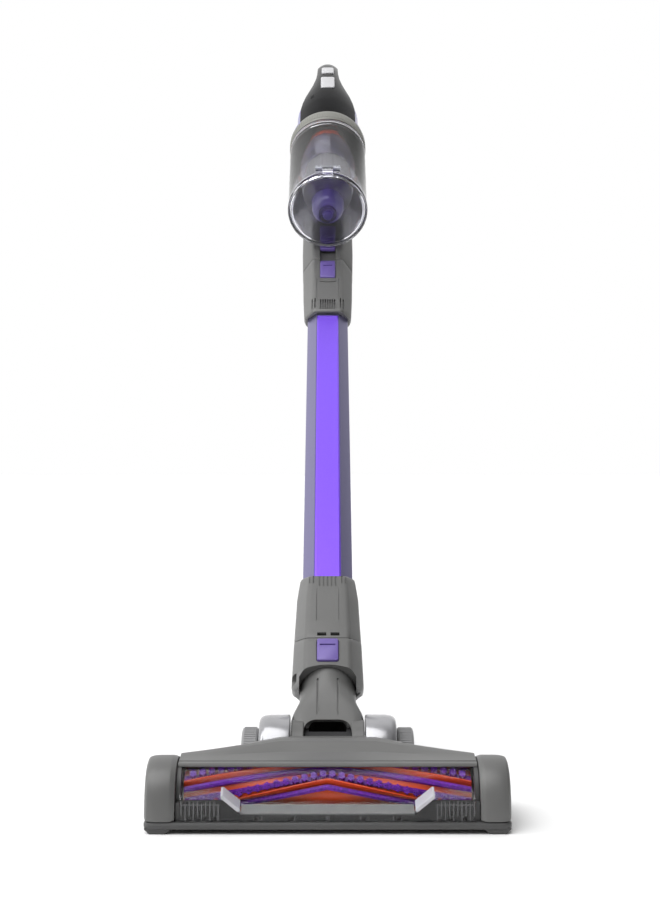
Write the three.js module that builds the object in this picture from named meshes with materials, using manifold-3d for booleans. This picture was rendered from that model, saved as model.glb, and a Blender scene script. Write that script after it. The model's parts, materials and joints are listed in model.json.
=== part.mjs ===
// A cordless stick vacuum: floor head, tilting and swivelling neck, wand, and handheld unit with its dust bin.
// Millimetres, +Z up, floor at z = 0, the floor head's front towards -Y. The wand leans back as it does in use.
import * as THREE from "three";
import { mergeVertices } from "three/addons/utils/BufferGeometryUtils.js";
import Module from "manifold-3d";

// ---------- driving dimensions ----------
const GAP = 0.3; // clearance left between neighbouring pieces
const LEAN = 49.5; // degrees that the wand leans back from upright

const HEAD_HALF = 135; // floor head, half its width
const HEAD_DEPTH = 84; // front edge to the back of the housing
const CAP_INNER = 112; // inner face of each end cap
const BASE_HALF = 111.5;
const CHAMBER_HALF = 108.2; // brush chamber, half its length
const BUMPER_TOP = 8.7;
const SOLE = 3; // height of the sole plate over the floor

const BRUSH = { y: 36, z: 23.5, core: 15.5, tip: 21.8, shaft: 4, half: 107 };
const CHAMBER_R = 23.5;
const WINDOW_R = 25.3;
const MOTOR = { y: 70, z: 30.6, r: 8, shaft: 1.6, x0: -68, x1: -24 }; // brush drive motor
const PULLEY = { brush: 11, motor: 5.5, x0: -121.5, x1: -114.5 };

const PIVOT = { y: 108, z: 38 }; // tilt axis of the yoke
const POD = { r: 29, x0: 29.9, x1: 55 };
const TRUNNION_R = 8;
const WHEEL = { y: 118, r: 27.5, x0: 55.8, x1: 69.3, pin: 3 };
const ROLLER = { x: 92, y: 70, r: 6.5, half: 5 };

// Heights along the wand, measured from the tilt axis
const STUB_TOP = 92;
const YOKE_SHOULDER = 47; // where the yoke turns into its round swivel stub
const CHEEK_ENDS = [50, 73]; // lower ends of the neck's cheeks, at the front and at the back
const NECK_ARCH = 67;
const STUB_STEP = 69; // the stub narrows here, inside the neck
const NECK_TOP = 109; // parting lines of the wand rise from the front to these heights at the sides
const NECK_FRONT = 97;
const LOWER_COLLAR_TOP = 184;
const LOWER_COLLAR_FRONT = 172;
const STRIP = [175.8, 579]; // ends of the strip let into the wand's front
const UPPER_COLLAR_FRONT = 582; // its lower lip, at the front, the sides and the back
const UPPER_COLLAR_SIDE = 590;
const UPPER_COLLAR_BACK = 600;
const UPPER_COLLAR_TOP = 684;
const NOSE_TOP = 868;
const BIN_BACK = 710; // dust bin mouth on its rear side
const BIN_FRONT = 719; // and on its front side, so the mouth is cut at a slant
const BIN_TOP = 847;
const HANDLE_TOP = 1095;

const BIN_AXIS = -76; // y of the dust bin's axis in the wand's frame
const TIP_AXIS = -66; // the filter's dirt deflector sits a little nearer to the wand
const BIN_R = 45.5;
const BIN_WALL = 2.2;
const DUCT_R = 15;
const STUB_R = 23.6;
const JOURNAL_R = 20; // the narrow end of the stub

// ---------- solids ----------
const wasm = await Module();
wasm.setup();

function solidOf(geometry) {
  const bare = geometry.index ? geometry.toNonIndexed() : geometry.clone();
  bare.deleteAttribute("normal");
  bare.deleteAttribute("uv");
  const merged = mergeVertices(bare, 1e-3);
  const index = merged.index.array;
  const kept = [];
  for (let i = 0; i < index.length; i += 3) {
    const [a, b, c] = [index[i], index[i + 1], index[i + 2]];
    if (a !== b && b !== c && c !== a) kept.push(a, b, c);
  }
  const build = (triangles) =>
    new wasm.Manifold(
      new wasm.Mesh({
        numProp: 3,
        vertProperties: new Float32Array(merged.attributes.position.array),
        triVerts: new Uint32Array(triangles),
      }),
    );
  const solid = build(kept);
  return solid.volume() > 0 ? solid : build(kept.reverse());
}

function geometryOf(solid) {
  const mesh = solid.getMesh();
  const positions = new Float32Array(mesh.numVert * 3);
  for (let i = 0; i < mesh.numVert; i++) {
    positions.set(mesh.vertProperties.subarray(i * mesh.numProp, i * mesh.numProp + 3), i * 3);
  }
  const geometry = new THREE.BufferGeometry();
  geometry.setAttribute("position", new THREE.BufferAttribute(positions, 3));
  geometry.setIndex(new THREE.BufferAttribute(mesh.triVerts, 1));
  geometry.computeVertexNormals();
  return geometry;
}

const join = (...solids) => solids.reduce((whole, next) => whole.add(next));
const cut = (solid, ...tools) => tools.reduce((left, tool) => left.subtract(tool), solid);

const box = (x0, x1, y0, y1, z0, z1) =>
  solidOf(
    new THREE.BoxGeometry(x1 - x0, y1 - y0, z1 - z0)
      .translate((x0 + x1) / 2, (y0 + y1) / 2, (z0 + z1) / 2),
  );

// Round rods along each axis
const rod = (r, length, sides) => new THREE.CylinderGeometry(r, r, length, sides);
const rodX = (x0, x1, y, z, r, sides = 20) =>
  solidOf(rod(r, x1 - x0, sides).rotateZ(Math.PI / 2).translate((x0 + x1) / 2, y, z));
const rodY = (y0, y1, x, z, r, sides = 18) => solidOf(rod(r, y1 - y0, sides).translate(x, (y0 + y1) / 2, z));
const rodZ = (z0, z1, x, y, r, sides = 20) =>
  solidOf(rod(r, z1 - z0, sides).rotateX(Math.PI / 2).translate(x, y, (z0 + z1) / 2));

// A round body about a line parallel to Z, from [radius, z] pairs
const turned = (profile, y, sides = 24) =>
  solidOf(
    new THREE.LatheGeometry(profile.map(([r, z]) => new THREE.Vector2(r, z)), sides)
      .rotateX(Math.PI / 2)
      .translate(0, y, 0),
  );

// A body whose outline changes along Z: outlineAt(station) gives the same number of points each time
function sweepZ(outlineAt, stations) {
  const outlines = stations.map(outlineAt);
  const steps = stations.length - 1;
  const shape = new THREE.Shape(outlines[0].map(([u, v]) => new THREE.Vector2(u, v)));
  const geometry = new THREE.ExtrudeGeometry(shape, { depth: steps, steps, bevelEnabled: false });
  const p = geometry.attributes.position;
  for (let i = 0; i < p.count; i++) {
    const near = outlines[0].map(([u, v]) => Math.hypot(u - p.getX(i), v - p.getY(i)));
    const [u, v] = outlines[Math.round(p.getZ(i))][near.indexOf(Math.min(...near))];
    p.setXYZ(i, u, v, stations[Math.round(p.getZ(i))]);
  }
  return geometry;
}

// The same along X, with outlines in (y, z)
const turnToX = new THREE.Matrix4().set(0, 0, 1, 0, 1, 0, 0, 0, 0, 1, 0, 0, 0, 0, 0, 1);
const sweepX = (outlineAt, stations) => solidOf(sweepZ(outlineAt, stations).applyMatrix4(turnToX));
const prismX = (outline, x0, x1) => sweepX(() => outline, [x0, x1]);
const prismY = (outline, y0, y1) =>
  solidOf(
    new THREE.ExtrudeGeometry(new THREE.Shape(outline.map(([x, z]) => new THREE.Vector2(x, z))), {
      depth: y1 - y0,
      bevelEnabled: false,
    })
      .rotateX(Math.PI / 2)
      .translate(0, y1, 0),
  );

const mix = (a, b, t) => a + (b - a) * t;
const share = (v, from, to) => Math.min(1, Math.max(0, (v - from) / (to - from)));
const arc = (y, z, r, from, to, steps) =>
  Array.from({ length: steps + 1 }, (_, i) => {
    const t = THREE.MathUtils.degToRad(mix(from, to, i / steps));
    return [y + r * Math.cos(t), z + r * Math.sin(t)];
  });
const mirror = (solid) => solid.mirror([1, 0, 0]);

// Piecewise straight lookup: rows are [position, value, value...]
function between(rows, at) {
  const i = Math.max(1, rows.findIndex((row) => row[0] >= at));
  const [low, high] = [rows[i - 1], rows[i]];
  const t = share(at, low[0], high[0]);
  return low.slice(1).map((v, k) => mix(v, high[k + 1], t));
}

// ---------- materials ----------
const finish = (color, roughness, metalness = 0, opacity = 1) =>
  new THREE.MeshStandardMaterial({ color, roughness, metalness, opacity, transparent: opacity < 1 });
const grey = finish(0x77777a, 0.42);
const darkGrey = finish(0x4c4c4e, 0.5);
const silverGrey = finish(0xa6a6ab, 0.22, 0.2);
const black = finish(0x1d1d1f, 0.3);
const purple = finish(0x7a63b8, 0.35);
const brightPurple = finish(0x8a63ff, 0.28, 0.4);
const anodised = finish(0x77718f, 0.35, 0.6);
const clear = finish(0xe9eaf2, 0.05, 0, 0.3);
const orange = finish(0xd8481c, 0.4);
const bristle = finish(0x5a2fb0, 0.8);
const rubber = finish(0x26262a, 0.8);
const steel = finish(0xb9bcc2, 0.25, 1);
const meshGrey = finish(0x8c8c90, 0.35, 0.7);
const board = finish(0x1e5b3c, 0.5);
const buttonGrey = finish(0xd0d0d4, 0.35);

const head = new THREE.Group();
const wand = new THREE.Group();
const add = (group, name, solid, material) => {
  const mesh = new THREE.Mesh(geometryOf(solid), material);
  mesh.name = name;
  group.add(mesh);
};

// ---------- floor head ----------
// Lower housing: sole plate, chamber walls and the two arms that carry the pivot pods
function headBase() {
  const rear = [
    ...arc(BRUSH.y, BRUSH.z, CHAMBER_R, -60.7, 68, 10),
    ...arc(BRUSH.y, BRUSH.z, CHAMBER_R + 1.9, 68, -3, 7),
    [HEAD_DEPTH, 22],
    [HEAD_DEPTH, SOLE],
  ];
  const front = [[6.2, SOLE], ...arc(BRUSH.y, BRUSH.z, CHAMBER_R, -119.3, -156, 4), [6.2, 14]];
  const side = join(
    box(CHAMBER_HALF + GAP, BASE_HALF, 6.2, HEAD_DEPTH, SOLE, 22),
    rodX(CHAMBER_HALF + GAP, BASE_HALF, BRUSH.y, BRUSH.z, WINDOW_R - 0.5),
  );
  const arm = box(32, 54, HEAD_DEPTH - 4, 114, SOLE, 22);
  const rollerPocket = box(
    ROLLER.x - ROLLER.half - 1, ROLLER.x + ROLLER.half + 1, ROLLER.y - 7.5, ROLLER.y + 7.5, 0, 14,
  );
  const shaftHole = rodX(-BASE_HALF - 1, -CHAMBER_HALF, MOTOR.y, MOTOR.z, 3);
  return cut(
    join(
      prismX(rear, -BASE_HALF, BASE_HALF),
      prismX(front, -BASE_HALF, BASE_HALF),
      side, mirror(side), arm, mirror(arm),
    ),
    rollerPocket, mirror(rollerPocket),
    rodX(-57, 57, PIVOT.y, PIVOT.z, POD.r + GAP, 32),
    box(-BASE_HALF - 1, BASE_HALF + 1, 0, HEAD_DEPTH, -5, SOLE),
    rodX(-BASE_HALF - 1, -CHAMBER_HALF, BRUSH.y, BRUSH.z, 9.3),
    rodX(CHAMBER_HALF, BASE_HALF + 1, BRUSH.y, BRUSH.z, 6),
    shaftHole,
    box(-16, 16, 54, 66, 24, 38),
  );
}

// Upper cover: a thin roof whose crest runs back from each end cap to the middle
const CREST_ROWS = [[37, 54.5], [66.7, 51.6], [91.5, 50.3], [BASE_HALF, 49.9]]; // [x, height]
function coverOutline(x) {
  const out = share(Math.abs(x), 37, BASE_HALF);
  const cy = mix(80, 46, out);
  const [cz] = between(CREST_ROWS, Math.abs(x));
  const foot = mix(47, 24, share(Math.abs(x), 57, 60));
  const [by, bz] = [mix(88, 82, out), mix(50, 38.5, out)];
  const [sy, sz] = [mix(cy, by, 0.4), mix(cz, bz, 0.25)];
  const wall = 2.4;
  return [
    [22.6, 45.3], [25.5, 47.2], [38, 50.8], [cy, cz], [sy, sz], [by, bz], [90, foot],
    [90 - wall, foot], [by - wall, bz - wall], [sy - 1, sz - wall], [cy - 1, cz - wall],
    [39, 47.9], [33, 47.2], [28, 46], [24, 44.1],
  ];
}
function headCover() {
  const half = [37, 57, 60, 84, CHAMBER_HALF, BASE_HALF];
  const stations = [...half.map((x) => -x).reverse(), 0, ...half];
  const pods = rodX(-57, 57, PIVOT.y, PIVOT.z, POD.r + 0.6, 32);
  const wheel = rodX(WHEEL.x0 - 1, WHEEL.x1 + 1, WHEEL.y, WHEEL.r, WHEEL.r + 1.5, 28);
  const ends = rodX(CHAMBER_HALF, BASE_HALF + 1, BRUSH.y, BRUSH.z, WINDOW_R);
  return cut(
    sweepX(coverOutline, stations),
    pods, wheel, mirror(wheel), ends, mirror(ends),
    box(-30.5, 30.5, 85.6, 100, 0, 70),
    rodX(-BASE_HALF, BASE_HALF, BRUSH.y, BRUSH.z, CHAMBER_R + 0.6, 32),
  );
}

// End cap: a solid wing with a convex front. The left one has a pocket for the belt drive
function endCap() {
  const front = new THREE.CubicBezierCurve(
    new THREE.Vector2(0.4, 12),
    new THREE.Vector2(2, 36),
    new THREE.Vector2(14, 50),
    new THREE.Vector2(34, 50.8),
  ).getPoints(8).map((p) => [p.x, p.y]);
  const outline = [[0.4, 9], ...front, [50, 48], [66, 43.5], [80, 36], [HEAD_DEPTH, 27], [HEAD_DEPTH, 9]];
  const shrink = (k) => outline.map(([y, z]) => [mix(42, y, k), mix(20, z, k)]);
  const stations = [[CAP_INNER, 1], [126, 1], [132.6, 0.965], [134, 0.92], [HEAD_HALF - 0.4, 0.86]];
  return sweepX((x) => shrink(between(stations, x)[0]), stations.map(([x]) => x));
}

// The closed loop round two pulleys, as an outline in (y, z)
function loop(rBrush, rMotor, steps = 8) {
  const [dy, dz] = [MOTOR.y - BRUSH.y, MOTOR.z - BRUSH.z];
  const along = THREE.MathUtils.radToDeg(Math.atan2(dz, dy));
  const open = THREE.MathUtils.radToDeg(Math.acos((rBrush - rMotor) / Math.hypot(dy, dz)));
  return [
    ...arc(BRUSH.y, BRUSH.z, rBrush, along + open, along + 360 - open, steps + 4),
    ...arc(MOTOR.y, MOTOR.z, rMotor, along - open, along + open, steps - 2),
  ];
}

// Clear nozzle window: an arc over the brush, a sloping ledge and a front skirt. k is 1 at the raised ends
function windowOutline(x) {
  const k = share(Math.abs(x), 64, 77);
  const low = mix(182.3, 160.4, k);
  const edge = mix(16.7, 26.9, k);
  const top = 123.6;
  return [
    ...arc(BRUSH.y, BRUSH.z, WINDOW_R, top, low, 6), [0.2, edge], [0.2, 9],
    [2.2, 9], [2.2, edge - 1.6], ...arc(BRUSH.y, BRUSH.z, CHAMBER_R, low + 4, top, 6),
  ];
}

// Comb behind the skirt, low in the middle and high at the ends, with slots that let large crumbs in
function gateComb() {
  const high = 24.4;
  const low = 13.8;
  const outline = [
    [-108, 9], [108, 9], [108, high], [77, high], [64, low], [-64, low], [-77, high], [-108, high],
  ];
  const slots = [-100, -91, -82, -52, -26, 0, 26, 52, 82, 91, 100]
    .map((x) => box(x - 1.6, x + 1.6, 2, 6, 8, 12.5));
  return cut(prismY(outline, 2.6, 5.4), ...slots);
}

// Bumper frame: the front strip, the strips under both end caps, and a foot at each front corner
function frontBumper() {
  const frame = new THREE.Shape();
  const [w, r] = [HEAD_HALF, 7];
  frame.moveTo(-w + r, 0).lineTo(w - r, 0).absarc(w - r, r, r, -Math.PI / 2, 0, false);
  frame.lineTo(w, HEAD_DEPTH - 4).lineTo(CAP_INNER, HEAD_DEPTH - 4).lineTo(CAP_INNER, 5.9);
  frame.lineTo(-CAP_INNER, 5.9).lineTo(-CAP_INNER, HEAD_DEPTH - 4).lineTo(-w, HEAD_DEPTH - 4);
  frame.lineTo(-w, r).absarc(-w + r, r, r, Math.PI, Math.PI * 1.5, false);
  const strip = solidOf(
    new THREE.ExtrudeGeometry(frame, { depth: BUMPER_TOP - 2.5, bevelEnabled: false, curveSegments: 5 })
      .translate(0, 0, 2.5),
  );
  const foot = prismY([[121, 0], [w - 4, 0], [w - 0.3, 3], [115, 3]], 4, 26);
  return join(strip, foot, mirror(foot));
}

// Bristle strips: low bars laid round the core in a V, so that dirt is led towards the middle
const STRIP_SLOPE = 0.62; // degrees round the core for each millimetre along it
const STRIP_STARTS = [67, 247];
const strand = (turn) => (x) => {
  const angle = turn + Math.abs(x) * STRIP_SLOPE;
  return [
    [BRUSH.core - 0.8, -9], [BRUSH.tip, -4.5], [BRUSH.tip, 4.5], [BRUSH.core - 0.8, 9],
  ].map(([r, spread]) => {
    const t = THREE.MathUtils.degToRad(angle + spread);
    return [BRUSH.y + r * Math.cos(t), BRUSH.z + r * Math.sin(t)];
  });
};
const STRIP_STATIONS = Array.from({ length: 15 }, (_, i) => mix(-100, 100, i / 14));
const bristleStrip = (turn) => sweepX(strand(turn), STRIP_STATIONS);

// Brush core on its shaft, with the belt pulley moulded onto the left end
const brushCore = () =>
  join(
    rodX(-BRUSH.half, BRUSH.half, BRUSH.y, BRUSH.z, BRUSH.core, 24),
    rodX(-122, 119, BRUSH.y, BRUSH.z, BRUSH.shaft, 10),
    rodX(PULLEY.x0, PULLEY.x1, BRUSH.y, BRUSH.z, PULLEY.brush, 24),
  );

function headParts() {
  add(head, "head_base", headBase(), darkGrey);
  add(head, "head_cover", headCover(), grey);
  const cap = endCap();
  const bearingSeat = rodX(CAP_INNER - 1, 119.5, BRUSH.y, BRUSH.z, 8.3);
  add(head, "end_cap_right", cut(cap, bearingSeat), grey);
  const beltPocket = prismX(loop(14, 8.2), -124, -CAP_INNER + 1);
  add(head, "end_cap_left", cut(mirror(cap), beltPocket), grey);
  const windowStations = [CHAMBER_HALF, 77, 70.5, 64].flatMap((x) => [x, -x]).sort((a, b) => a - b);
  add(head, "nozzle_window", sweepX(windowOutline, windowStations), clear);
  add(head, "gate_comb", gateComb(), rubber);
  add(head, "bumper_frame", frontBumper(), darkGrey);

  const ductBore = box(-15.4, 15.4, 60, 95, 25, 37);
  const duct = cut(
    box(-18.4, 18.4, 62, 95, 22.4, 39.5),
    ductBore,
    rodX(-20, 20, PIVOT.y, PIVOT.z, 18.2),
    rodX(-20, 20, BRUSH.y, BRUSH.z, CHAMBER_R + 2.4, 32),
  );
  add(head, "suction_duct", duct, rubber);
  const drum = cut(
    rodX(-18.6, 18.6, PIVOT.y, PIVOT.z, 17.8, 32),
    rodX(-16.4, 16.4, PIVOT.y, PIVOT.z, 15.6, 32),
    box(-15, 15, PIVOT.y - 20, PIVOT.y, PIVOT.z - 12, PIVOT.z - 1),
    box(-15, 15, PIVOT.y - 6, PIVOT.y + 20, PIVOT.z + 2, PIVOT.z + 20),
    rodX(-20, 20, PIVOT.y, PIVOT.z, TRUNNION_R + GAP),
  );
  add(head, "duct_drum", drum, rubber);

  const pod = cut(
    rodX(POD.x0, POD.x1, PIVOT.y, PIVOT.z, POD.r, 32),
    cut(
      rodX(POD.x0 - 1, POD.x1 - 2.5, PIVOT.y, PIVOT.z, POD.r - 2.5, 24),
      rodX(POD.x0 - 2, POD.x1, PIVOT.y, PIVOT.z, 12),
    ),
    rodX(POD.x0 - 1, 51, PIVOT.y, PIVOT.z, TRUNNION_R + GAP),
    rodX(POD.x1 - 6, POD.x1 + 1, WHEEL.y, WHEEL.r, WHEEL.pin + GAP, 12),
  );
  const pin = cut(
    rodX(19.6, 50.7, PIVOT.y, PIVOT.z, TRUNNION_R),
    rodX(19, 51, PIVOT.y, PIVOT.z, 5),
  );
  const wheel = cut(
    rodX(WHEEL.x0, WHEEL.x1, WHEEL.y, WHEEL.r, WHEEL.r, 32),
    rodX(WHEEL.x0 - 1, WHEEL.x1 + 1, WHEEL.y, WHEEL.r, WHEEL.pin + GAP, 12),
  );
  const axle = join(
    rodX(POD.x1 - 2.3, WHEEL.x1 + 1, WHEEL.y, WHEEL.r, WHEEL.pin, 12),
    rodX(WHEEL.x1 + 0.4, WHEEL.x1 + 1.8, WHEEL.y, WHEEL.r, 5.5, 12),
  );
  const roller = rodX(ROLLER.x - ROLLER.half, ROLLER.x + ROLLER.half, ROLLER.y, ROLLER.r, ROLLER.r, 18);
  for (const [side, placed] of [["right", (s) => s], ["left", mirror]]) {
    add(head, `pivot_pod_${side}`, placed(pod), silverGrey);
    add(head, `hinge_pin_${side}`, placed(pin), steel);
    add(head, `rear_wheel_${side}`, placed(wheel), grey);
    add(head, `wheel_axle_${side}`, placed(axle), steel);
    add(head, `front_roller_${side}`, placed(roller), rubber);
  }

  const motor = join(
    rodX(MOTOR.x0, MOTOR.x1, MOTOR.y, MOTOR.z, MOTOR.r, 20),
    rodX(-122, MOTOR.x1 - 5, MOTOR.y, MOTOR.z, MOTOR.shaft, 10),
  );
  add(head, "brush_motor", motor, steel);
  const motorPulley = cut(
    rodX(PULLEY.x0, PULLEY.x1, MOTOR.y, MOTOR.z, PULLEY.motor, 20),
    rodX(PULLEY.x0 - 1, PULLEY.x1 + 1, MOTOR.y, MOTOR.z, MOTOR.shaft + GAP, 12),
  );
  add(head, "motor_pulley", motorPulley, steel);
  const belt = cut(
    prismX(loop(PULLEY.brush + 1.7, PULLEY.motor + 1.7), PULLEY.x0 + 1, PULLEY.x1 - 1),
    prismX(loop(PULLEY.brush + GAP, PULLEY.motor + GAP), PULLEY.x0, PULLEY.x1),
  );
  add(head, "drive_belt", belt, rubber);
  const bushing = (x0, x1, r) =>
    cut(
      rodX(x0, x1, BRUSH.y, BRUSH.z, r),
      rodX(x0 - 1, x1 + 1, BRUSH.y, BRUSH.z, BRUSH.shaft + GAP, 10),
    );
  add(head, "brush_bearing_right", bushing(CAP_INNER + 0.2, 119, 8), steel);
  add(head, "brush_bearing_left", bushing(-BASE_HALF, -CHAMBER_HALF - 0.5, 9), steel);

  add(head, "brush_core", brushCore(), orange);
  const clearOfCore = rodX(-120, 120, BRUSH.y, BRUSH.z, BRUSH.core + GAP, 24);
  for (const [i, turn] of STRIP_STARTS.entries()) {
    add(head, `bristle_strip_${i + 1}`, cut(bristleStrip(turn), clearOfCore), bristle);
  }
}

// ---------- neck and wand, upright about the tilt axis; -Y is the front ----------
// An eight-sided section: front flat, widest part, back flat, and the depths where they start
const facets = ([front, wide, back, f, m, n, b]) => [
  [-front / 2, -f], [front / 2, -f], [wide / 2, -m], [wide / 2, n],
  [back / 2, b], [-back / 2, b], [-wide / 2, n], [-wide / 2, -m],
];
const faceted = (rows) => solidOf(sweepZ((z) => facets(between(rows, z)), rows.map((row) => row[0])));
const WAND_SECTION = [25, 44.8, 28, 20, 5, 8, 20];
const NECK_ROWS = [
  [49, 38, 57, 36, 26.5, 8, 11, 27],
  [64, 39, 60.6, 38, 27.5, 8, 11, 28],
  [NECK_TOP + 3, 38, 58, 36, 27, 8, 10, 27],
];
const LOWER_COLLAR_ROWS = [
  [NECK_FRONT - 5, 38, 59, 36, 27, 8, 10, 27],
  [160, 35, 54.5, 34, 25.5, 8, 10, 24.5],
  [LOWER_COLLAR_TOP + 3, 32, 50, 32, 23, 7, 9, 22.6],
];
const UPPER_COLLAR_ROWS = [
  [UPPER_COLLAR_FRONT - 3, 32, 50, 32, 23.6, 7, 9, 23],
  [600, 33, 53, 33, 24.8, 8, 10, 24],
  [UPPER_COLLAR_TOP - GAP, 34, 57.5, 34, 27, 9, 10, 25],
];
const NOSE_ROWS = [
  [UPPER_COLLAR_TOP, 34, 58, 34, 27, 9, 10, 25],
  [720, 36, 59.5, 36, 27, 10, 10, 25],
  [NOSE_TOP, 36, 59.5, 36, 27, 10, 10, 25],
];

// Everything below a parting line that is low at the front and rises to the sides
const belowLine = (front, side, back = side) =>
  prismX([[-60, -60], [60, -60], [60, back], [9, back], [-8, side], [-26, front], [-60, front]], -60, 60);

function yoke() {
  const body = faceted([
    [4, 38, 58.6, 38, 21.5, 12, 12, 21.5],
    [19, 38, 58.6, 38, 21.5, 12, 12, 21.5],
    [30, 36, 52, 36, 21.5, 12, 12, 21.5],
    [37, 34, 47, 34, 21.5, 12, 12, 21.5],
    [YOKE_SHOULDER, 26, 46, 26, 21.5, 9, 9, 21.5],
  ]);
  const ear = rodX(19.2, 29.3, 0, 0, 25, 28);
  const seat = rodX(19, 30, 0, 0, TRUNNION_R + GAP);
  const stub = join(
    rodZ(YOKE_SHOULDER - 4, STUB_STEP, 0, 0, STUB_R, 28),
    rodZ(STUB_STEP - 2, STUB_TOP, 0, 0, JOURNAL_R, 28),
  );
  return cut(
    join(body, ear, mirror(ear), stub),
    box(-19.2, 19.2, -18.3, 40, -40, 21),
    box(-19.2, 19.2, -40, 0, -40, 12.5),
    rodZ(10, STUB_TOP + 1, 0, 0, DUCT_R + 1.5),
    seat, mirror(seat),
  );
}

function neckHousing() {
  const [cheekFront, cheekBack] = CHEEK_ENDS;
  return cut(
    faceted(NECK_ROWS).intersect(belowLine(NECK_FRONT, NECK_TOP)),
    prismX(
      [[-60, -60], [60, -60], [60, cheekBack], [28, cheekBack], [-15.5, cheekFront], [-60, cheekFront]],
      -60, 60,
    ),
    rodZ(cheekFront - 2, STUB_STEP + 0.6, 0, 0, STUB_R + 0.7, 28),
    rodZ(STUB_STEP, STUB_TOP + 0.6, 0, 0, JOURNAL_R + 0.7, 28),
    rodZ(STUB_TOP, NECK_TOP + 5, 0, 0, DUCT_R + 3.2),
    box(-23.5, 23.5, -40, 40, cheekFront - 2, NECK_ARCH),
    box(-10.1, 10.1, -40, -23.3, 70.4, 95.2),
  );
}

function lowerCollar() {
  return cut(
    join(
      cut(faceted(LOWER_COLLAR_ROWS), belowLine(NECK_FRONT + GAP, NECK_TOP + GAP))
        .intersect(belowLine(LOWER_COLLAR_FRONT, LOWER_COLLAR_TOP - 3, LOWER_COLLAR_TOP)),
      rodZ(94, NECK_TOP + 10, 0, 0, DUCT_R + 2.8),
    ),
    rodZ(93, 151, 0, 0, DUCT_R),
    solidOf(sweepZ(() => grow(WAND_SECTION, GAP), [150 - GAP, LOWER_COLLAR_TOP + 5])),
  );
}
const grow = ([front, wide, back, f, m, n, b], by) =>
  facets([front + by, wide + 2 * by, back + by, f + by, m, n, b + by]);

function wandTube() {
  const wall = -1.9;
  return cut(
    solidOf(sweepZ(() => facets(WAND_SECTION), [150, 600])),
    solidOf(sweepZ(() => grow(WAND_SECTION, wall), [149, 601])),
    box(-11.3, 11.3, -21, -19, STRIP[0] - GAP, STRIP[1] + GAP),
  );
}

function upperCollar() {
  return cut(
    cut(faceted(UPPER_COLLAR_ROWS), belowLine(UPPER_COLLAR_FRONT, UPPER_COLLAR_SIDE, UPPER_COLLAR_BACK)),
    solidOf(sweepZ(() => grow(WAND_SECTION, GAP), [UPPER_COLLAR_FRONT - 5, 600 + GAP])),
    rodZ(600, 641, 0, 0, DUCT_R),
    rodZ(640, UPPER_COLLAR_TOP, 0, 0, DUCT_R + 2.8),
    box(-9.1, 9.1, -40, -21.4, 645, 682.5),
    rodY(-22, -17.6, 0, 664, 4.4, 10),
  );
}

// A press button with a rounded front edge; its back rests just clear of its pocket
const pressButton = (half, front, back, z0, z1) =>
  prismX(
    [[back, z0], [front + 1.2, z0], [front, z0 + 1.5], [front, z1 - 3], [front + 1.2, z1], [back, z1]],
    -half, half,
  );
const buttonSpring = (y0, y1, z) => cut(rodY(y0, y1, 0, z, 3.4, 10), rodY(y0 - 1, y1 + 1, 0, z, 2.4, 10));

function wandParts() {
  add(wand, "yoke", yoke(), grey);
  add(wand, "neck_housing", neckHousing(), grey);
  add(wand, "head_release_button", pressButton(9.7, -29.2, -26.2, 70.8, 94.8), purple);
  add(wand, "head_release_spring", buttonSpring(-25.9, -23.6, 83), steel);
  add(wand, "wand_lower_collar", lowerCollar(), grey);
  add(wand, "wand_tube", wandTube(), anodised);
  add(
    wand, "wand_front_strip",
    box(-11, 11, -20.4, -19.3, STRIP[0], STRIP[1]), brightPurple,
  );
  add(wand, "wand_upper_collar", upperCollar(), grey);
  add(wand, "wand_release_button", pressButton(8.7, -27.8, -24.8, 645.4, 682.1), purple);
  add(wand, "wand_release_spring", buttonSpring(-24.4, -18.2, 664), steel);
}

// ---------- handheld unit ----------
// Everything in front of the bin's slanted mouth, moved by shift along the axis
function mouthCutter(shift) {
  const [y0, y1] = [BIN_AXIS - 70, BIN_AXIS + 60];
  const slope = (BIN_BACK - BIN_FRONT) / (2 * BIN_R);
  const at = (y) => BIN_FRONT + slope * (y - (BIN_AXIS - BIN_R)) + shift;
  return prismX([[y0, 640], [y1, 640], [y1, at(y1)], [y0, at(y0)]], -80, 80);
}

function noseHousing() {
  return cut(
    join(faceted(NOSE_ROWS), rodZ(656, UPPER_COLLAR_TOP + 2, 0, 0, DUCT_R + 2.4)),
    rodZ(655, 848, 0, 0, DUCT_R),
    rodY(-40, 0, 0, 830, 12.5),
    box(-9.3, 9.3, -40, -21.5, 686, 757),
    rodY(-22, -17, 0, 740, 4.4, 10),
  );
}

function binBody() {
  const tube = cut(
    rodZ(690, BIN_TOP - GAP, 0, BIN_AXIS, BIN_R, 32),
    rodZ(680, BIN_TOP + 1, 0, BIN_AXIS, BIN_R - BIN_WALL, 32),
  );
  const [hy, hz] = HINGE;
  const lug = join(rodX(6.4, 14, hy, hz, 3.4, 12), box(6.4, 14, hy, hy + 6, hz - 0.6, hz + 8));
  const pinHole = rodX(-20, 20, hy, hz, 1.7, 12);
  return cut(join(cut(tube, mouthCutter(0)), lug, mirror(lug)), pinHole, rodY(-40, -20, 0, 830, 12.5));
}

const HINGE = [BIN_AXIS - BIN_R - 4, BIN_FRONT + 1];

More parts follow.
